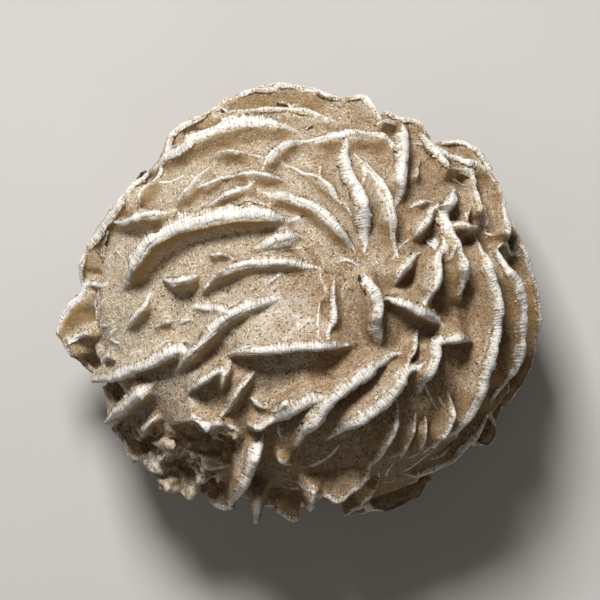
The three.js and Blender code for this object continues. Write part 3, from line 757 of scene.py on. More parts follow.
def sliver_crests(shape, surface, crests, number, chance):
    """Crests of small blades, roughly along the large ones near them, and fewer on the upper side."""
    faces = [face for face in shape.faces if face.calc_center_median().z > 1.5 * MM]
    places, ways, _, _ = crest_points(crests)
    near = point_tree(places)
    slivers = []
    for face in chance.choices(faces, [face.calc_area() for face in faces], k=number * 6):
        if len(slivers) >= number:
            break
        shares = [chance.random() + 1e-6 for _ in face.verts]
        place = sum((vert.co * share for vert, share in zip(face.verts, shares)), Vector()) / sum(shares)
        outward = Vector(core_outward(np.array([place]))[0])
        _, row, gap = near.find(place)
        upper = place.z > 0.62 * HEIGHT
        if face.normal.dot(outward) < 0.55 or gap < chance.uniform(0.9, 1.9) * MM:
            continue
        if upper and chance.random() > 0.12:
            continue
        turn = Matrix.Rotation(chance.gauss(0, 0.22), 3, face.normal)
        way = Vector(ways[row])
        along = turn @ (way - face.normal * way.dot(face.normal))
        if along.length > 0.3:
            line = sliver_line(surface, np.array(place), np.array(along.normalized()), face.normal, chance)
            if np.linalg.norm(np.diff(line, axis=0), axis=1).max() < 1.2 * MM:
                slivers.append(sliver_crest(line, np.array(face.normal), chance))
    return slivers


def sliver_line(surface, place, along, normal, chance, steps=9):
    """A short bowed line on the surface."""
    length = chance.uniform(2.0, 6.0) * MM
    bow = chance.uniform(-0.14, 0.14) * length
    share = np.linspace(-1, 1, steps)[:, None]
    line = place + along * share * length / 2 + np.cross(normal, along) * bow * (1 - share**2)
    return np.array([surface.find_nearest(Vector(spot))[0] for spot in line])


def sliver_crest(line, normal, chance):
    """The crest of one small blade: it stands on a line and dips into the surface at both ends."""
    steps = len(line)
    share = np.linspace(-1, 1, steps)
    tall = chance.uniform(0.2, 0.5) * MM
    rise = tall * (1 - share**4) - 0.3 * MM * share**4
    half = even(steps, chance.uniform(0.14, 0.26) * MM) * (1 - 0.7 * share**2)
    return Crest(line + normal * rise[:, None], np.tile(normal, (steps, 1)), half, rise + 0.8 * MM, 0.2)


def add_wall(shape, crest):
    """Adds a crest's wall to the solid: thin at the top, and banked with sand on its windward side."""
    along = unit_rows(np.gradient(crest.tops, axis=0))
    across = unit_rows(np.cross(crest.standing, along))
    facing = across @ WINDWARD_AND_KEY_LIGHT
    tops = [crest.tops + across * crest.half[:, None] * side for side in (0.75, -0.75)]
    roots = crest.tops - crest.standing * crest.depth[:, None]
    tall = np.maximum(crest.depth - 1.0 * MM, 0)
    spread_out = [crest.half + 0.12 * MM + np.maximum(facing * side, 0) * 1.6 * tall for side in (1, -1)]
    low = [roots + across * (spread_out[0])[:, None], roots - across * (spread_out[1])[:, None]]
    rings = np.stack([tops[0], tops[1], low[1], low[0]], axis=1)
    rows = [[shape.verts.new(corner) for corner in ring] for ring in rings]
    for row, after in zip(rows, rows[1:]):
        for side in range(4):
            other = (side + 1) % 4
            shape.faces.new((row[side], row[other], after[other], after[side]))
    shape.faces.new(reversed(rows[0]))
    shape.faces.new(rows[-1])


@functools.lru_cache(maxsize=2)
def rose_crests(slivers):
    """All crests of the rose: the ridges, the other rims of the solid, and the small blades."""
    chance = random.Random(CREST_SEED)
    solid = solid_copy()
    surface = BVHTree.FromBMesh(solid)
    ridges = [ridge_crest(surface, row, chance) for row in RIDGES]
    ridges = [crest for crest in ridges if crest]
    strips = strip_crests(solid, point_tree(crest_points(ridges)[0]), chance)
    small = sliver_crests(solid, surface, ridges + strips, slivers, chance)
    solid.free()
    return ridges, strips, small


def remeshed(shape, cell):
    """The solid's surface as an even fine mesh."""
    coarse = bpy.data.meshes.new("coarse")
    shape.to_mesh(coarse)
    holder = bpy.data.objects.new("coarse", coarse)
    bpy.context.scene.collection.objects.link(holder)
    remesh = holder.modifiers.new("even cells", "REMESH")
    remesh.mode = "VOXEL"
    remesh.voxel_size = cell
    remesh.adaptivity = 0.0
    graph = bpy.context.evaluated_depsgraph_get()
    mesh = bpy.data.meshes.new_from_object(holder.evaluated_get(graph))
    bpy.data.objects.remove(holder)
    bpy.data.meshes.remove(coarse)
    return mesh


# ---------- Shaping the body ----------


def thinned(mesh, triangles):
    """A copy of the mesh with fewer triangles, most of them where the surface bends."""
    holder = bpy.data.objects.new("fine", mesh)
    bpy.context.scene.collection.objects.link(holder)
    fewer = holder.modifiers.new("fewer triangles", "DECIMATE")
    fewer.ratio = min(1.0, triangles / (2 * len(mesh.polygons)))
    fewer.use_collapse_triangulate = True
    graph = bpy.context.evaluated_depsgraph_get()
    thin = bpy.data.meshes.new_from_object(holder.evaluated_get(graph))
    bpy.data.objects.remove(holder)
    return thin


def nearest_rows(places, wanted):
    """For each wanted place, the row of the nearest of the places."""
    tree = point_tree(places)
    return np.array([tree.find(place)[1] for place in wanted])


def even(count, share):
    return np.full(count, share)


def shape_body(settings):
    """The rose's fine mesh, with what its materials and grains read kept at each vertex."""
    solid = solid_copy()
    large_rims = rim_tree([outline(face) for face in rim_faces(solid)])
    ridges, strips, small = rose_crests(settings.slivers)
    for crest in (*ridges, *small):
        add_wall(solid, crest)
    mesh = remeshed(solid, settings.cell)
    solid.free()

    places, normals, edges = mesh_arrays(mesh)
    count = len(places)
    spots, ways, halves, bare_and_shaded_amounts = crest_points([*ridges, *strips, *small])
    near = point_tree(spots)
    found = [near.find(place)[1:] for place in places]
    rows = np.array([row for row, _ in found])
    gap = np.array([distance for _, distance in found])
    strip_gap = np.array([large_rims.find_nearest(place)[3] for place in places])
    flow = smoothed(ways[rows], edges, 3, even(count, 0.5))

    outward = core_outward(places)
    broad = smoothed(places, edges, 60, even(count, 0.5))
    proud = np.einsum("ij,ij->i", places - broad, outward) / MM
    beyond = gap - halves[rows]
    rim = ramp(beyond, 0.42 * MM, -0.05 * MM) * ramp(halves[rows], 0.05 * MM, 0.4 * MM)
    strip = ramp(strip_gap, 0.35 * MM, 0.08 * MM) * ramp(proud, 0.1, 0.5) * 0.7
    rim = np.maximum(rim * ramp(proud, -0.25, 0.15), strip)
    sandy = ramp(np.minimum(beyond, strip_gap), 0.05 * MM, 0.6 * MM)
    level = ramp(places[:, 2], 0.25 * MM, 1.2 * MM)

    places = smoothed(places, edges, 2, even(count, 0.35))
    places = smoothed(places, edges, settings.settle, 0.5 * sandy)
    set_places(mesh, places)
    places, normals, edges = mesh_arrays(mesh)

    broken = broken_places(places)
    swell = layered_noise(places, 3.8 * MM, 11) * settings.swell
    rubble = (np.abs(layered_noise(places, 1.9 * MM, 71)) * 3.4 - 0.7) * broken * settings.rubble
    pits = layered_noise(places, 1.1 * MM, 21) * settings.pitting * (0.3 + 0.7 * sandy)
    nicks = layered_noise(places, 1.3 * MM, 41)
    wear = rim * (nicks * 0.9 - 0.2) * settings.ragged
    places = places + normals * ((swell + pits + rubble) * level)[:, None]
    places = places + outward * (wear * level)[:, None]
    places[:, 2] = np.maximum(places[:, 2], CAD_LOW.z)
    set_places(mesh, places)

    places, normals, edges = mesh_arrays(mesh)
    # Amber bare crystal on steep faces near the ridges that are turned away from the key light: partly the
    # crystal's own colour, partly painted shade.
    steep = ramp(np.einsum("ij,ij->i", normals, outward), 0.92, 0.6)
    turned_from_light = ramp(normals @ WINDWARD_AND_KEY_LIGHT, 0.62, 0.2)
    close = ramp(gap, 3.2 * MM, 1.6 * MM)
    usual = 0.55 + 0.4 * ramp(nicks, -0.3, 0.5)
    bare = np.maximum(1.1 * bare_and_shaded_amounts[rows], usual) * steep * turned_from_light * close * (1 - rim)
    bare = smoothed(bare[:, None], edges, 3, even(count, 0.5))[:, 0]
    # Painted light: sand near the blades on faces turned to the key light is marked to go pale.
    banked = ramp(beyond, 2.4 * MM, 0.1 * MM) * ramp(normals @ WINDWARD_AND_KEY_LIGHT, 0.3, 0.9)
    banked *= ramp(layered_noise(places, 1.6 * MM, 81), -0.5, 0.5) * ramp(halves[rows], 0.15 * MM, 0.5 * MM)
    kept_values = {
        "rim": rim * ramp(nicks + 0.9 * rim, -0.3, 0.4) * (1 - 0.7 * broken),
        "bare": bare,
        # Dust: random chalk patches, the dusted middle and the rubble's raised lumps, plus painted light on
        # the banks turned to the key light.
        "dust_and_light": np.maximum(
            ramp(layered_noise(places, 5 * MM, 51) + dust_patches(places), 0.0, 0.95),
            np.maximum(0.9 * banked, 0.8 * ramp(rubble, 0.35 * MM, 1.1 * MM)),
        ),
        # Ochre stain in random patches and on the right half, plus painted shade on the near side away from
        # the key light.
        "stain_and_shade": ramp(layered_noise(places, 3.2 * MM, 61) + stained_and_shaded_side(places), -0.6, 0.8),
        # Painted shade: places lower than the smoothed surface, and the pits of the rubble, are marked to
        # be darkened brown.
        "crevice_shade": np.maximum(ramp(proud, 0.0, -0.55), 0.6 * broken * ramp(rubble, 0.2 * MM, -0.6 * MM)),
        "sandy": sandy * (1 - 0.97 * bare) * level,
    }

    thin = thinned(mesh, settings.triangles)
    rows = nearest_rows(places, mesh_arrays(thin)[0])
    for name, values in kept_values.items():
        store(thin, name, values[rows])
    store_vector(thin, "flow", flow[rows])
    thin.polygons.foreach_set("use_smooth", [True] * len(thin.polygons))
    bpy.data.meshes.remove(mesh)
    return thin


def broken_places(places):
    """1 where the near left flank has broken away and left rubble, 0 elsewhere."""
    x, y = places[:, 0] - CENTRE.x, places[:, 1] - CENTRE.y
    last_blade = -4.7 * MM + 0.41 * (y + 16 * MM)
    across = ramp(x, -23 * MM, -20 * MM) * ramp(x - last_blade, -1.3 * MM, -3.3 * MM)
    return across * ramp(y, -14.2 * MM, -16 * MM) * ramp(places[:, 2], 0.15 * HEIGHT, 0.3 * HEIGHT)


# Middles, in shares of half the rose's width and depth, and radii in mm, of the chalk-dusted places.
DUSTY_PLACES = [((-0.05, -0.07), 6.5), ((-0.02, 0.33), 4.5), ((-0.26, 0.02), 3.5)]


def dust_patches(places):
    """Extra dust round the top's middle, where the blades were handled and rubbed."""
    total = np.zeros(len(places))
    for (share_x, share_y), radius in DUSTY_PLACES:
        x = CENTRE.x + share_x * WIDTH / 2
        y = CENTRE.y + share_y * DEPTH / 2
        gap = np.hypot(places[:, 0] - x, places[:, 1] - y)
        total += ramp(gap, radius * MM, radius * MM * 0.2)
    return np.minimum(total, 1) * ramp(places[:, 2], HEIGHT * 0.5, HEIGHT * 0.7) - 0.45


def stained_and_shaded_side(places):
    """Browner sand towards the right half, as a stain, and towards the near side, away from the key light,
    as painted shade; paler on the other sides.
    """
    across = (places[:, 0] - CENTRE.x) / WIDTH * 2
    near = (CENTRE.y - places[:, 1]) / DEPTH * 2
    return 1.2 * np.clip(across + 0.12, -0.6, 0.75) + 0.7 * np.clip(near, -0.3, 0.9)


# ---------- Shader nodes ----------

# Fixed tints beside the ones in the finish settings.
HONEY = (0.42, 0.275, 0.11)  # the lighter streaks in the amber crystal
RUSTY_GRAIN = (0.52, 0.37, 0.19)
# Painted shade colour for the crevices.
CREVICE_SHADE_BROWN = (0.16, 0.09, 0.04)
GREY_CHALK = (0.60, 0.55, 0.47)
DIRTY_CHALK = (0.32, 0.26, 0.19)
# Pale dust colours, also used as painted light on the banks turned to the key light.
PALE_DUST_AND_LIGHT = (0.74, 0.715, 0.66)
GRAIN_DUST_AND_LIGHT = (0.72, 0.68, 0.61)
STREAK_GREY = (0.60, 0.56, 0.49)
RIM_SAND = (0.58, 0.49, 0.36)
GRAIN_BROWN = (0.17, 0.105, 0.055)
GRAIN_TAN = (0.47, 0.36, 0.225)
GRAIN_PALE = (0.57, 0.48, 0.36)
GRAIN_WHITE = (0.76, 0.72, 0.64)
BUMP_DEPTH = 0.07 * MM


def add_node(tree, kind, inputs=None, **settings):
    """A node of a kind, with its settings, and its inputs set to values or joined to sockets."""
    node = tree.nodes.new(kind)
    for name, value in settings.items():
        setattr(node, name, value)
    for name, value in (inputs or {}).items():
        if isinstance(value, bpy.types.NodeSocket):
            tree.links.new(value, node.inputs[name])
        else:
            node.inputs[name].default_value = value
    return node


def with_alpha(colour):
    return (*colour, 1.0)


def mixed(tree, share, a, b):
    """Colour a where share is 0 and b where it is 1."""
    node = add_node(tree, "ShaderNodeMix", {0: share}, data_type="RGBA")
    for index, value in ((6, a), (7, b)):
        if isinstance(value, bpy.types.NodeSocket):
            tree.links.new(value, node.inputs[index])
        else:
            node.inputs[index].default_value = with_alpha(value)
    return node.outputs[2]


def spread(tree, value, low, high, to_low=0.0, to_high=1.0):
    """value from low..high taken to to_low..to_high, held at the ends."""
    inputs = {"Value": value, "From Min": low, "From Max": high, "To Min": to_low, "To Max": to_high}
    return add_node(tree, "ShaderNodeMapRange", inputs).outputs["Result"]


def joined(tree, operation, a, b):
    return add_node(tree, "ShaderNodeMath", {0: a, 1: b}, operation=operation).outputs[0]


def noise_at(tree, place, scale, detail):
    """Soft noise from 0 to 1, in bumps about 1 / scale of a metre wide."""
    inputs = {"Vector": place, "Scale": scale, "Detail": detail}
    return add_node(tree, "ShaderNodeTexNoise", inputs).outputs[0]


def kept(tree, name):
    """The number kept at each vertex under a name."""
    return add_node(tree, "ShaderNodeAttribute", attribute_name=name).outputs["Fac"]


def speckle_group():
    """Grain-sized specks: a share of dark ones, a share of pale ones, and the height of the grains."""
    name = "Grain speckle"
    if name in bpy.data.node_groups:
        return bpy.data.node_groups[name]
    group = bpy.data.node_groups.new(name, "ShaderNodeTree")
    for socket, default in (("Grains per metre", 4200.0), ("Dark share", 0.12), ("Pale share", 0.2)):
        made = group.interface.new_socket(socket, in_out="INPUT", socket_type="NodeSocketFloat")
        made.default_value = default
    for socket in ("Dark", "Pale", "Tone", "Height"):
        group.interface.new_socket(socket, in_out="OUTPUT", socket_type="NodeSocketFloat")
    start = group.nodes.new("NodeGroupInput")
    place = add_node(group, "ShaderNodeTexCoord").outputs["Object"]
    cells = add_node(
        group, "ShaderNodeTexVoronoi", {"Vector": place, "Scale": start.outputs[0], "Randomness": 1.0}
    )
    parts = add_node(group, "ShaderNodeSeparateColor", {"Color": cells.outputs["Color"]})
    dark = joined(group, "LESS_THAN", parts.outputs[0], start.outputs[1])
    pale = joined(group, "LESS_THAN", parts.outputs[1], start.outputs[2])
    height = spread(group, cells.outputs["Distance"], 0.0, 0.9, 1.0, 0.0)
    end = group.nodes.new("NodeGroupOutput")
    for index, socket in enumerate((dark, pale, parts.outputs[2], height)):
        group.links.new(socket, end.inputs[index])
    return group


def streak_group():
    """Fine streaks across a rim, from the distance along it, and their height."""
    name = "Rim streaks"
    if name in bpy.data.node_groups:
        return bpy.data.node_groups[name]
    group = bpy.data.node_groups.new(name, "ShaderNodeTree")
    for socket, default in (("Distance along", 0.0), ("Streaks per metre", 2600.0)):
        made = group.interface.new_socket(socket, in_out="INPUT", socket_type="NodeSocketFloat")
        made.default_value = default
    for socket in ("Streak", "Height"):
        group.interface.new_socket(socket, in_out="OUTPUT", socket_type="NodeSocketFloat")
    start = group.nodes.new("NodeGroupInput")
    scaled = joined(group, "MULTIPLY", start.outputs[0], start.outputs[1])
    streaks = add_node(
        group,
        "ShaderNodeTexNoise",
        {"W": scaled, "Scale": 1.0, "Detail": 2.0, "Roughness": 0.6},
        noise_dimensions="1D",
    )
    end = group.nodes.new("NodeGroupOutput")
    group.links.new(spread(group, streaks.outputs[0], 0.35, 0.65), end.inputs[0])
    group.links.new(streaks.outputs[0], end.inputs[1])
    return group


def placed_group(tree, group, **values):
    node = tree.nodes.new("ShaderNodeGroup")
    node.node_tree = group
    for name, value in values.items():
        node.inputs[name.replace("_", " ")].default_value = value
    return node


def new_material(name):
    """An empty material with its output and a Principled shader."""
    material = bpy.data.materials.new(name)
    material.use_nodes = True
    tree = material.node_tree
    tree.nodes.clear()
    shader = tree.nodes.new("ShaderNodeBsdfPrincipled")
    output = tree.nodes.new("ShaderNodeOutputMaterial")
    tree.links.new(shader.outputs[0], output.inputs[0])
    return material, tree, shader


def rose_material(finish):
    """Tan sand with dark and pale grains, amber bare faces, and chalk-white streaked rims. Painted shade
    darkens the crevices and, with the ochre stain, the near side, and the amber faces turned away from the
    key light are partly painted shade; the pale dust on banks turned to the key light is partly painted
    light.
    """
    material, tree, shader = new_material("sandy_gypsum")
    place = add_node(tree, "ShaderNodeTexCoord").outputs["Object"]
    grains = placed_group(tree, speckle_group(), Grains_per_metre=5800.0, Dark_share=0.075, Pale_share=0.2)
    coarse = placed_group(tree, speckle_group(), Grains_per_metre=3400.0, Dark_share=0.03, Pale_share=0.10)
    streaks = placed_group(tree, streak_group(), Streaks_per_metre=2400.0)
    flow = add_node(tree, "ShaderNodeAttribute", attribute_name="flow").outputs["Vector"]
    along = add_node(tree, "ShaderNodeVectorMath", {0: place, 1: flow}, operation="DOT_PRODUCT")
    tree.links.new(along.outputs["Value"], streaks.inputs["Distance along"])
    mottle = noise_at(tree, place, 900.0, 4.0)

    # The sand goes ochre, and loses pale grains, with the stain, which includes painted shade on the near
    # side.
    stained = joined(tree, "MULTIPLY", kept(tree, "stain_and_shade"), 0.85)
    tone = joined(tree, "ADD", stained, spread(tree, grains.outputs["Tone"], 0.0, 1.0, -0.35, 0.35))
    tone = joined(tree, "ADD", tone, spread(tree, mottle, 0.35, 0.65, -0.40, 0.35))
    sand = mixed(tree, spread(tree, tone, 0.0, 1.0), finish.sand, finish.ochre)
    pale = spread(tree, kept(tree, "stain_and_shade"), 0.2, 1.0, 0.55, 0.18)
    sand = mixed(tree, joined(tree, "MULTIPLY", grains.outputs["Pale"], pale), sand, finish.chalk)
    sand = mixed(tree, joined(tree, "MULTIPLY", coarse.outputs["Pale"], 0.35), sand, RUSTY_GRAIN)
    dark = joined(tree, "MAXIMUM", grains.outputs["Dark"], coarse.outputs["Dark"])
    dark = joined(tree, "MULTIPLY", dark, spread(tree, kept(tree, "bare"), 0.0, 0.6, 1.0, 0.25))

    # Amber bare crystal, which also stands as painted shade on faces turned away from the key light.
    bare = mixed(tree, streaks.outputs["Streak"], finish.amber, HONEY)
    colour = mixed(tree, joined(tree, "MULTIPLY", kept(tree, "bare"), 0.92), sand, bare)
    # Painted shade: the crevices are darkened towards a dark brown.
    crevice_shade_share = joined(tree, "MULTIPLY", kept(tree, "crevice_shade"), 0.7)
    colour = mixed(tree, crevice_shade_share, colour, CREVICE_SHADE_BROWN)
    # Pale dust, partly painted light on the banks turned to the key light.
    dust_and_light_cover = joined(tree, "MULTIPLY", kept(tree, "dust_and_light"), spread(tree, mottle, 0.40, 0.60, 0.10, 1.0))
    colour = mixed(tree, joined(tree, "MULTIPLY", dust_and_light_cover, 0.85), colour, PALE_DUST_AND_LIGHT)
    colour = mixed(tree, joined(tree, "MULTIPLY", dark, 0.8), colour, finish.speck)
    patchy = joined(tree, "ADD", kept(tree, "rim"), spread(tree, mottle, 0.3, 0.7, -0.25, 0.15))
    whiteness = spread(tree, patchy, 0.2, 0.62)
    rim = mixed(tree, streaks.outputs["Streak"], GREY_CHALK, finish.chalk)
    rim = mixed(tree, joined(tree, "MULTIPLY", coarse.outputs["Dark"], 0.6), rim, DIRTY_CHALK)
    colour = mixed(tree, whiteness, colour, rim)
    tree.links.new(colour, shader.inputs["Base Color"])

    rough = spread(tree, kept(tree, "bare"), 0.0, 1.0, 0.92, 0.62)
    tree.links.new(rough, shader.inputs["Roughness"])
    height = joined(tree, "MULTIPLY", grains.outputs["Height"], 0.7)
    height = joined(tree, "ADD", height, joined(tree, "MULTIPLY", coarse.outputs["Height"], 0.5))
    crest = joined(tree, "MULTIPLY", streaks.outputs["Height"], kept(tree, "rim"))
    height = joined(tree, "ADD", height, joined(tree, "MULTIPLY", crest, 1.2))
    height = joined(tree, "ADD", height, joined(tree, "MULTIPLY", mottle, 1.0))
    bump = add_node(tree, "ShaderNodeBump", {"Height": height, "Distance": BUMP_DEPTH, "Strength": 0.8})
    tree.links.new(bump.outputs[0], shader.inputs["Normal"])
    return material


def grain_material(finish):
    """Single grains: mostly tan quartz, with some ochre, pale and dark ones. They also go ochre with the
    painted shade of the near side and pale with the painted light on banks turned to the key light.
    """
    material, tree, shader = new_material("sand_grain")
    tone = kept(tree, "tone")
    colours = add_node(tree, "ShaderNodeValToRGB", {"Fac": tone})
    stops = [
        (0.0, finish.speck),
        (0.05, GRAIN_BROWN),
        (0.16, finish.ochre),
        (0.50, finish.sand),
        (0.76, GRAIN_TAN),
        (0.88, GRAIN_PALE),
        (1.0, GRAIN_WHITE),
    ]
    ramp_of = colours.color_ramp
    ramp_of.elements[0].position, ramp_of.elements[1].position = stops[0][0], stops[-1][0]
    ramp_of.elements[0].color, ramp_of.elements[1].color = with_alpha(stops[0][1]), with_alpha(stops[-1][1])
    for position, colour in stops[1:-1]:
        ramp_of.elements.new(position).color = with_alpha(colour)
    # Grains go ochre with the stain, partly painted shade on the near side, and pale with the dust, partly
    # painted light on banks turned to the key light.
    stained = joined(tree, "MULTIPLY", kept(tree, "stain_and_shade"), 0.72)
    grain_dust_and_light = joined(tree, "MULTIPLY", kept(tree, "dust_and_light"), 0.5)
    colour = mixed(tree, stained, colours.outputs[0], finish.ochre)
    tree.links.new(mixed(tree, grain_dust_and_light, colour, GRAIN_DUST_AND_LIGHT), shader.inputs["Base Color"])
    shader.inputs["Roughness"].default_value = 0.6
    return material


def rim_material(finish):
    """The rims: chalk white with fine streaks across, fading into sand on their windward side."""
    material, tree, shader = new_material("gypsum_rim")
    place = add_node(tree, "ShaderNodeTexCoord").outputs["Object"]
    grains = placed_group(tree, speckle_group(), Grains_per_metre=5600.0, Dark_share=0.05, Pale_share=0.2)
    streaks = placed_group(tree, streak_group(), Streaks_per_metre=3600.0)
    tree.links.new(kept(tree, "along"), streaks.inputs["Distance along"])
    mottle = noise_at(tree, place, 1500.0, 4.0)

    patches = noise_at(tree, place, 420.0, 3.0)
    smooth = spread(tree, patches, 0.38, 0.62, 0.0, 0.8)
    streaked = joined(tree, "MAXIMUM", streaks.outputs["Streak"], smooth)
    chalk = mixed(tree, streaked, STREAK_GREY, finish.chalk)
    sand = mixed(tree, grains.outputs["Tone"], finish.ochre, RIM_SAND)
    share = joined(tree, "SUBTRACT", kept(tree, "rim"), kept(tree, "edge"))
    share = joined(tree, "ADD", share, spread(tree, mottle, 0.32, 0.68, -0.55, 0.40))
    share = joined(tree, "ADD", share, spread(tree, streaks.outputs["Height"], 0.35, 0.65, -0.25, 0.2))
    colour = mixed(tree, spread(tree, share, 0.05, 0.6), sand, chalk)
    dark = joined(tree, "MULTIPLY", grains.outputs["Dark"], spread(tree, share, 0.3, 1.1, 0.8, 0.3))
    colour = mixed(tree, dark, colour, finish.speck)
    tree.links.new(colour, shader.inputs["Base Color"])
    shader.inputs["Roughness"].default_value = 0.9
    streaky = joined(tree, "MULTIPLY", streaks.outputs["Height"], 2.6)
    height = joined(tree, "ADD", grains.outputs["Height"], streaky)
    bump = add_node(tree, "ShaderNodeBump", {"Height": height, "Distance": BUMP_DEPTH, "Strength": 0.9})
    tree.links.new(bump.outputs[0], shader.inputs["Normal"])
    return material


# ---------- Geometry nodes for what sits on the surface ----------


def scatter_tree(name, cover):
    """A tree that scatters small eight-sided grains over a surface, by the cover kept at its vertices."""
    tree = bpy.data.node_groups.new(name, "GeometryNodeTree")
    tree.interface.new_socket("Geometry", in_out="INPUT", socket_type="NodeSocketGeometry")
    for socket, kind in (
        ("Density", "NodeSocketFloat"),
        ("Size", "NodeSocketVector"),
        ("Sink", "NodeSocketFloat"),
        ("Seed", "NodeSocketInt"),
        ("Material", "NodeSocketMaterial"),
    ):
        tree.interface.new_socket(socket, in_out="INPUT", socket_type=kind)
    tree.interface.new_socket("Geometry", in_out="OUTPUT", socket_type="NodeSocketGeometry")
    start = tree.nodes.new("NodeGroupInput")
    where = add_node(
        tree, "GeometryNodeInputNamedAttribute", {"Name": cover}, data_type="FLOAT"
    ).outputs["Attribute"]
    density = joined(tree, "MULTIPLY", where, start.outputs["Density"])
    points = add_node(
        tree,
        "GeometryNodeDistributePointsOnFaces",
        {"Mesh": start.outputs["Geometry"], "Density": density, "Seed": start.outputs["Seed"]},
        distribute_method="RANDOM",
    )
    sunk = add_node(
        tree,
        "ShaderNodeVectorMath",
        {0: points.outputs["Normal"], "Scale": start.outputs["Sink"]},
        operation="SCALE",
    )
    placed = add_node(
        tree,
        "GeometryNodeSetPosition",
        {"Geometry": points.outputs["Points"], "Offset": sunk.outputs["Vector"]},
    )
    shape = add_node(tree, "GeometryNodeMeshUVSphere", {"Segments": 4, "Rings": 2, "Radius": 1.0})
    turn = random_vector(tree, (0, 0, 0), (math.tau, math.tau, math.tau), start.outputs["Seed"], 1)
    stretch = random_vector(tree, (0.6, 0.6, 0.6), (1.35, 1.35, 1.35), start.outputs["Seed"], 2)
    scale = add_node(
        tree, "ShaderNodeVectorMath", {0: stretch, 1: start.outputs["Size"]}, operation="MULTIPLY"
    )
    instances = add_node(
        tree,
        "GeometryNodeInstanceOnPoints",
        {
            "Points": placed.outputs[0],
            "Instance": shape.outputs["Mesh"],
            "Rotation": turn,
            "Scale": scale.outputs["Vector"],
        },
    )
    tone = add_node(
        tree, "FunctionNodeRandomValue", {"Seed": start.outputs["Seed"]}, data_type="FLOAT"
    )
    toned = add_node(
        tree,
        "GeometryNodeStoreNamedAttribute",
        {"Geometry": instances.outputs[0], "Name": "tone", "Value": tone.outputs[1]},
        data_type="FLOAT",
        domain="INSTANCE",
    )
    solid = add_node(tree, "GeometryNodeRealizeInstances", {"Geometry": toned.outputs[0]})
    finished = add_node(
        tree,
        "GeometryNodeSetMaterial",
        {"Geometry": solid.outputs[0], "Material": start.outputs["Material"]},
    )
    end = tree.nodes.new("NodeGroupOutput")
    tree.links.new(finished.outputs[0], end.inputs["Geometry"])
    return tree


def random_vector(tree, low, high, seed, salt):
    salted = add_node(tree, "ShaderNodeMath", {0: seed, 1: float(salt)}, operation="ADD")
    inputs = {0: low, 1: high, "Seed": salted.outputs[0]}
    return add_node(tree, "FunctionNodeRandomValue", inputs, data_type="FLOAT_VECTOR").outputs[0]


def attribute_area(mesh, name):
    """Area of a mesh's surface, each part counted by the number kept there under a name."""
    values = np.empty(len(mesh.vertices), dtype=np.float32)
    mesh.attributes[name].data.foreach_get("value", values)
    areas = np.empty(len(mesh.polygons), dtype=np.float32)
    mesh.polygons.foreach_get("area", areas)
    starts = np.empty(len(mesh.polygons), dtype=np.int32)
    mesh.polygons.foreach_get("loop_start", starts)
    corners = np.empty(len(mesh.loops), dtype=np.int32)
    mesh.loops.foreach_get("vertex_index", corners)
    means = np.add.reduceat(values[corners], starts) / np.diff(np.append(starts, len(corners)))
    return float((areas * means).sum())


def scattered(name, surface, tree, values):
    """The mesh that a scatter tree makes on a surface."""
    holder = bpy.data.objects.new(name + "_holder", surface.data.copy())
    bpy.context.scene.collection.objects.link(holder)
    modifier = holder.modifiers.new("scatter", "NODES")
    modifier.node_group = tree
    for socket in tree.interface.items_tree:
        if socket.in_out == "INPUT" and socket.name in values:
            modifier[socket.identifier] = values[socket.name]
    graph = bpy.context.evaluated_depsgraph_get()
    mesh = bpy.data.meshes.new_from_object(holder.evaluated_get(graph))
    holder.modifiers.clear()
    used = holder.data
    bpy.data.objects.remove(holder)
    bpy.data.meshes.remove(used)
    return mesh


def scatter_piece(name, surface, tree, material, cover, radius, seed, count):
    """One piece of count grains joined in a mesh."""
    density = count / attribute_area(surface.data, cover)
    size = (radius, radius, radius)
    values = {"Density": density, "Size": size, "Sink": -0.2 * radius, "Seed": seed, "Material": material}
    mesh = scattered(name, surface, tree, values)
    return new_piece(name, mesh, material)


# ---------- Rims ----------

# Places across a rim from its windward side to its leeward side: the share of its half width, the share
# of its crown's height there, and how much sand covers it.
RIM_SECTION = [
    (-1.75, -0.7, 1.0),
    (-1.35, 0.1, 0.85),
    (-0.85, 0.5, 0.5),
    (-0.25, 0.9, 0.12),
    (0.35, 1.0, 0.0),
    (0.8, 0.75, 0.1),
    (1.0, -0.9, 0.5),
]


def landed(surface, place, up, reach):
    """Where the surface lies under a place, looking down from up; None where there is none in reach."""
    return surface.ray_cast(Vector(place + up * reach), Vector(-up), 2.2 * reach)[0]


def draped(surface, middle, across, standing, offsets, deepest):
    """Places beside a line, laid on the surface but never much lower than the line."""
    low = np.empty(len(middle))
    for i, (start, side, up, offset) in enumerate(zip(middle, across, standing, offsets)):
        hit = landed(surface, start + side * offset, up, 1.0 * MM)
        low[i] = (np.array(hit) - start) @ up if hit else -deepest
    low = even_out(np.clip(low, -deepest, 0.25 * MM), 1)
    return middle + across * offsets[:, None] + standing * low[:, None]


def longest_run(steady):
    """The rows of the longest stretch of a line whose steps are all steady."""
    breaks = np.flatnonzero(~np.concatenate([[False], steady, [False]]))
    widest = int(np.argmax(np.diff(breaks)))
    return slice(breaks[widest], breaks[widest + 1])


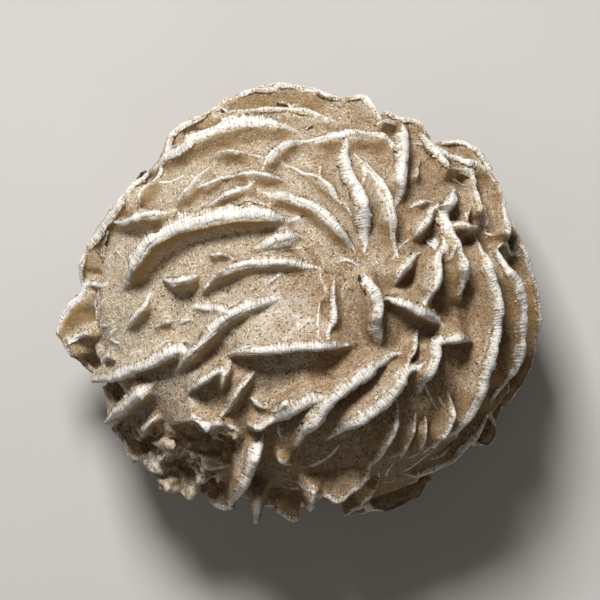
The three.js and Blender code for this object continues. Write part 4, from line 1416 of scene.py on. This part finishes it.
def rim_rings(surface, crest, pitch, chance):
    """Cross sections of one rim laid on the surface, with their sand cover, whiteness and distance along.

    None where the crest has too little surface under it to carry a rim.
    """
    tops, standing, half = resampled(crest.tops, pitch, crest.standing, crest.half)
    standing = unit_rows(standing)
    middle = []
    for top, up in zip(tops, standing):
        middle.append(landed(surface, top, up, 1.3 * MM) or surface.find_nearest(top)[0])
    middle = np.array(middle)
    steady = np.linalg.norm(np.diff(middle, axis=0), axis=1) < 0.7 * MM
    run = longest_run(steady)
    middle, standing, half = even_out(middle[run], 5), standing[run], half[run]
    count = len(middle)
    if count < 5:
        return None
    along = unit_rows(np.gradient(middle, axis=0))
    across = -unit_rows(np.cross(standing, along))
    across *= np.where(across.mean(axis=0) @ WINDWARD_AND_KEY_LIGHT > 0, -1, 1)
    long_step = 1.6 * MM / pitch
    share = np.abs(np.linspace(-1, 1, count))
    whole = np.clip(1.05 + wander(count, 2.2 * long_step, 0.4, chance), 0.3, 1.1)
    wide = half * whole * (1.2 + wander(count, long_step, 0.13, chance))
    crown = (0.035 * MM + 0.11 * half) * whole * (1 - share**6)
    teeth = np.array([chance.gauss(0, 0.6) for _ in range(count)]) + wander(count, 3.3, 0.8, chance)
    rings, edge = [], []
    for place, height, sanded in RIM_SECTION:
        fray = np.array([chance.gauss(0, 0.7) for _ in range(count)]) + wander(count, 4.1, 0.9, chance)
        offsets = place * wide * (1 + 0.13 * fray * min(1, abs(place) ** 3))
        level = crown * (height + 0.22 * teeth * (height > 0))
        laid = draped(surface, middle, across, standing, offsets, 0.28 * MM + 0.25 * half.max())
        rings.append(laid + standing * level[:, None])
        edge.append(even(count, sanded))
    white = 0.58 + 1.1 * half / MM + wander(count, long_step, 0.12, chance) - 0.3 * (1 - whole)
    white = np.repeat(np.clip(white, 0, 1)[:, None], len(RIM_SECTION), axis=1)
    gone = np.repeat((np.arange(count) * pitch + chance.random())[:, None], len(RIM_SECTION), axis=1)
    return np.stack(rings, axis=1), np.stack(edge, axis=1), white, gone


def rim_mesh(name, surface, crests, pitch, chance):
    """The rims of many crests as one mesh."""
    places, faces, edges, whites, distances = [], [], [], [], []
    sides = len(RIM_SECTION)
    start = 0
    for crest in crests:
        made = rim_rings(surface, crest, pitch, chance)
        if made is None:
            continue
        rings, edge, white, gone = made
        count = len(rings)
        corner = start + np.arange(count - 1)[:, None] * sides + np.arange(sides)[None, :]
        after = start + np.arange(count - 1)[:, None] * sides + (np.arange(sides)[None, :] + 1) % sides
        faces.append(np.stack([corner, corner + sides, after + sides, after], axis=2).reshape(-1, 4))
        places.append(rings.reshape(-1, 3))
        edges.append(edge.ravel())
        whites.append(white.ravel())
        distances.append(gone.ravel())
        start += count * sides
    places = np.vstack(places)
    places[:, 2] = np.maximum(places[:, 2], CAD_LOW.z)
    mesh = bpy.data.meshes.new(name)
    mesh.from_pydata(places, [], np.vstack(faces).tolist())
    store(mesh, "edge", np.concatenate(edges))
    store(mesh, "rim", np.concatenate(whites))
    store(mesh, "along", np.concatenate(distances))
    mesh.polygons.foreach_set("use_smooth", [True] * len(mesh.polygons))
    return mesh


# ---------- Operators ----------


class SANDROSE_OT_cluster(bpy.types.Operator):
    """Weathers the rose's solid into its blades, rims and banked sand"""

    bl_idname = "sand_rose.cluster"
    bl_label = "Cluster of blades"

    def execute(self, context):
        scene = context.scene
        mesh = shape_body(scene.sand_rose_shape)
        piece = new_piece("rose_cluster", mesh, rose_material(scene.sand_rose_finish))
        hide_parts(NODE)
        return {"FINISHED"}


class SANDROSE_OT_grains(bpy.types.Operator):
    """Sticks single sand grains to the sandy surfaces"""

    bl_idname = "sand_rose.grains"
    bl_label = "Sand grains"

    def execute(self, context):
        scene = context.scene
        grains = scene.sand_rose_grains
        surface = bpy.data.objects["rose_cluster"]
        tree = scatter_tree("Scatter sand", "sandy")
        material = grain_material(scene.sand_rose_finish)
        for index, share in enumerate((1.0, 0.85, 1.2)):
            name = f"sand_grains_{index + 1}"
            radius = grains.radius * share
            seed = FIRST_GRAIN_SEED + index
            scatter_piece(name, surface, tree, material, "sandy", radius, seed, grains.per_piece)
        return {"FINISHED"}


class SANDROSE_OT_rims(bpy.types.Operator):
    """Lays the pale rims along the crests of the blades"""

    bl_idname = "sand_rose.rims"
    bl_label = "Rims"

    def execute(self, context):
        scene = context.scene
        chance = random.Random(RIM_SEED)
        body = bpy.data.objects["rose_cluster"].data
        corners = [tuple(face.vertices) for face in body.polygons]
        surface = BVHTree.FromPolygons(mesh_arrays(body)[0].tolist(), corners)
        ridges, strips, small = rose_crests(scene.sand_rose_shape.slivers)
        material = rim_material(scene.sand_rose_finish)
        pitch = scene.sand_rose_shape.rim_pitch
        for name, crests, spacing in (
            ("large_rims", [*ridges, *strips], pitch),
            ("small_rims", small, 1.3 * pitch),
        ):
            new_piece(name, rim_mesh(name, surface, crests, spacing, chance), material)
        return {"FINISHED"}


class SANDROSE_OT_stage(bpy.types.Operator):
    """Sets the pale floor, the lights and the camera"""

    bl_idname = "sand_rose.stage"
    bl_label = "Studio"

    def execute(self, context):
        studio = context.scene.sand_rose_studio
        make_floor()
        make_lights(studio)
        make_camera(studio)
        return {"FINISHED"}


def make_floor(size=1.6):
    mesh = bpy.data.meshes.new("studio_floor")
    half = size / 2
    z = CAD_LOW.z
    corners = [(-half, -half, z), (half, -half, z), (half, half, z), (-half, half, z)]
    mesh.from_pydata(corners, [], [(0, 1, 2, 3)])
    material, tree, shader = new_material("pale_floor")
    place = add_node(tree, "ShaderNodeTexCoord").outputs["Object"]
    cloud = noise_at(tree, place, 30.0, 3.0)
    colour = mixed(tree, spread(tree, cloud, 0.3, 0.7), (0.50, 0.49, 0.475), (0.53, 0.52, 0.505))
    tree.links.new(colour, shader.inputs["Base Color"])
    shader.inputs["Roughness"].default_value = 0.85
    mesh.materials.append(material)
    floor = bpy.data.objects.new("studio_floor", mesh)
    bpy.context.scene.collection.objects.link(floor)
    floor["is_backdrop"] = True


def make_light(name, bearing, height, distance, size, power, colour):
    """A square light that faces the rose. bearing is counted from +X towards +Y."""
    lamp = bpy.data.lights.new(name, "AREA")
    lamp.size = size
    lamp.energy = power
    lamp.color = colour
    light = bpy.data.objects.new(name, lamp)
    level = math.cos(height)
    way = Vector((math.cos(bearing) * level, math.sin(bearing) * level, math.sin(height)))
    light.location = CENTRE + way * distance
    light.rotation_euler = way.to_track_quat("Z", "Y").to_euler()
    bpy.context.scene.collection.objects.link(light)


def make_lights(studio):
    fill_power = studio.key_power * FILL_SHARE
    make_light("key", KEY_BEARING, studio.key_height, 0.55, 0.17, studio.key_power, (1.0, 0.985, 0.96))
    make_light("fill", FILL_BEARING, FILL_HEIGHT, 0.6, 0.5, fill_power, (1.0, 0.93, 0.84))
    world = bpy.data.worlds.new("studio")
    world.use_nodes = True
    sky = world.node_tree.nodes["Background"]
    sky.inputs["Color"].default_value = (1.0, 0.95, 0.88, 1.0)
    sky.inputs["Strength"].default_value = 0.10
    bpy.context.scene.world = world


def make_camera(studio):
    """Looks straight down, with +Y up in the view."""
    lens = bpy.data.cameras.new("camera")
    lens.lens = studio.lens
    lens.sensor_width = 36.0
    lens.clip_start = 0.01
    camera = bpy.data.objects.new("camera", lens)
    distance = studio.field * studio.lens / lens.sensor_width
    camera.location = (CENTRE.x + AIM.x, CENTRE.y + AIM.y, WIDEST_LINE + distance)
    bpy.context.scene.collection.objects.link(camera)
    bpy.context.scene.camera = camera
    view = bpy.context.scene.view_settings
    view.view_transform = "Standard"


# ---------- Panel and registration ----------


class SANDROSE_PT_panel(bpy.types.Panel):
    """Lists the rose's operators and settings"""

    bl_idname = "SANDROSE_PT_panel"
    bl_label = "Sand rose"
    bl_space_type = "VIEW_3D"
    bl_region_type = "UI"
    bl_category = "Sand rose"

    def draw(self, context):
        for operator in OPERATORS:
            self.layout.operator(operator.bl_idname)
        for name in SETTINGS:
            group = getattr(context.scene, name)
            box = self.layout.box()
            for key in group.bl_rna.properties.keys():
                if key not in ("name", "rna_type"):
                    box.prop(group, key)


SETTINGS = {
    "sand_rose_shape": SandRoseShape,
    "sand_rose_finish": SandRoseFinish,
    "sand_rose_grains": SandRoseGrains,
    "sand_rose_studio": SandRoseStudio,
}
OPERATORS = (SANDROSE_OT_cluster, SANDROSE_OT_grains, SANDROSE_OT_rims, SANDROSE_OT_stage)


def register():
    for cls in (*SETTINGS.values(), *OPERATORS, SANDROSE_PT_panel):
        bpy.utils.register_class(cls)
    for name, group in SETTINGS.items():
        setattr(bpy.types.Scene, name, bpy.props.PointerProperty(type=group))


def unregister():
    for name in SETTINGS:
        delattr(bpy.types.Scene, name)
    for cls in reversed((*SETTINGS.values(), *OPERATORS, SANDROSE_PT_panel)):
        bpy.utils.unregister_class(cls)


def main():
    cad = [list(corner) for corner in (CAD_LOW, CAD_HIGH)]
    register()
    bpy.ops.sand_rose.cluster()
    bpy.ops.sand_rose.grains()
    bpy.ops.sand_rose.rims()
    bpy.ops.sand_rose.stage()


if __name__ == "__main__":
    main()
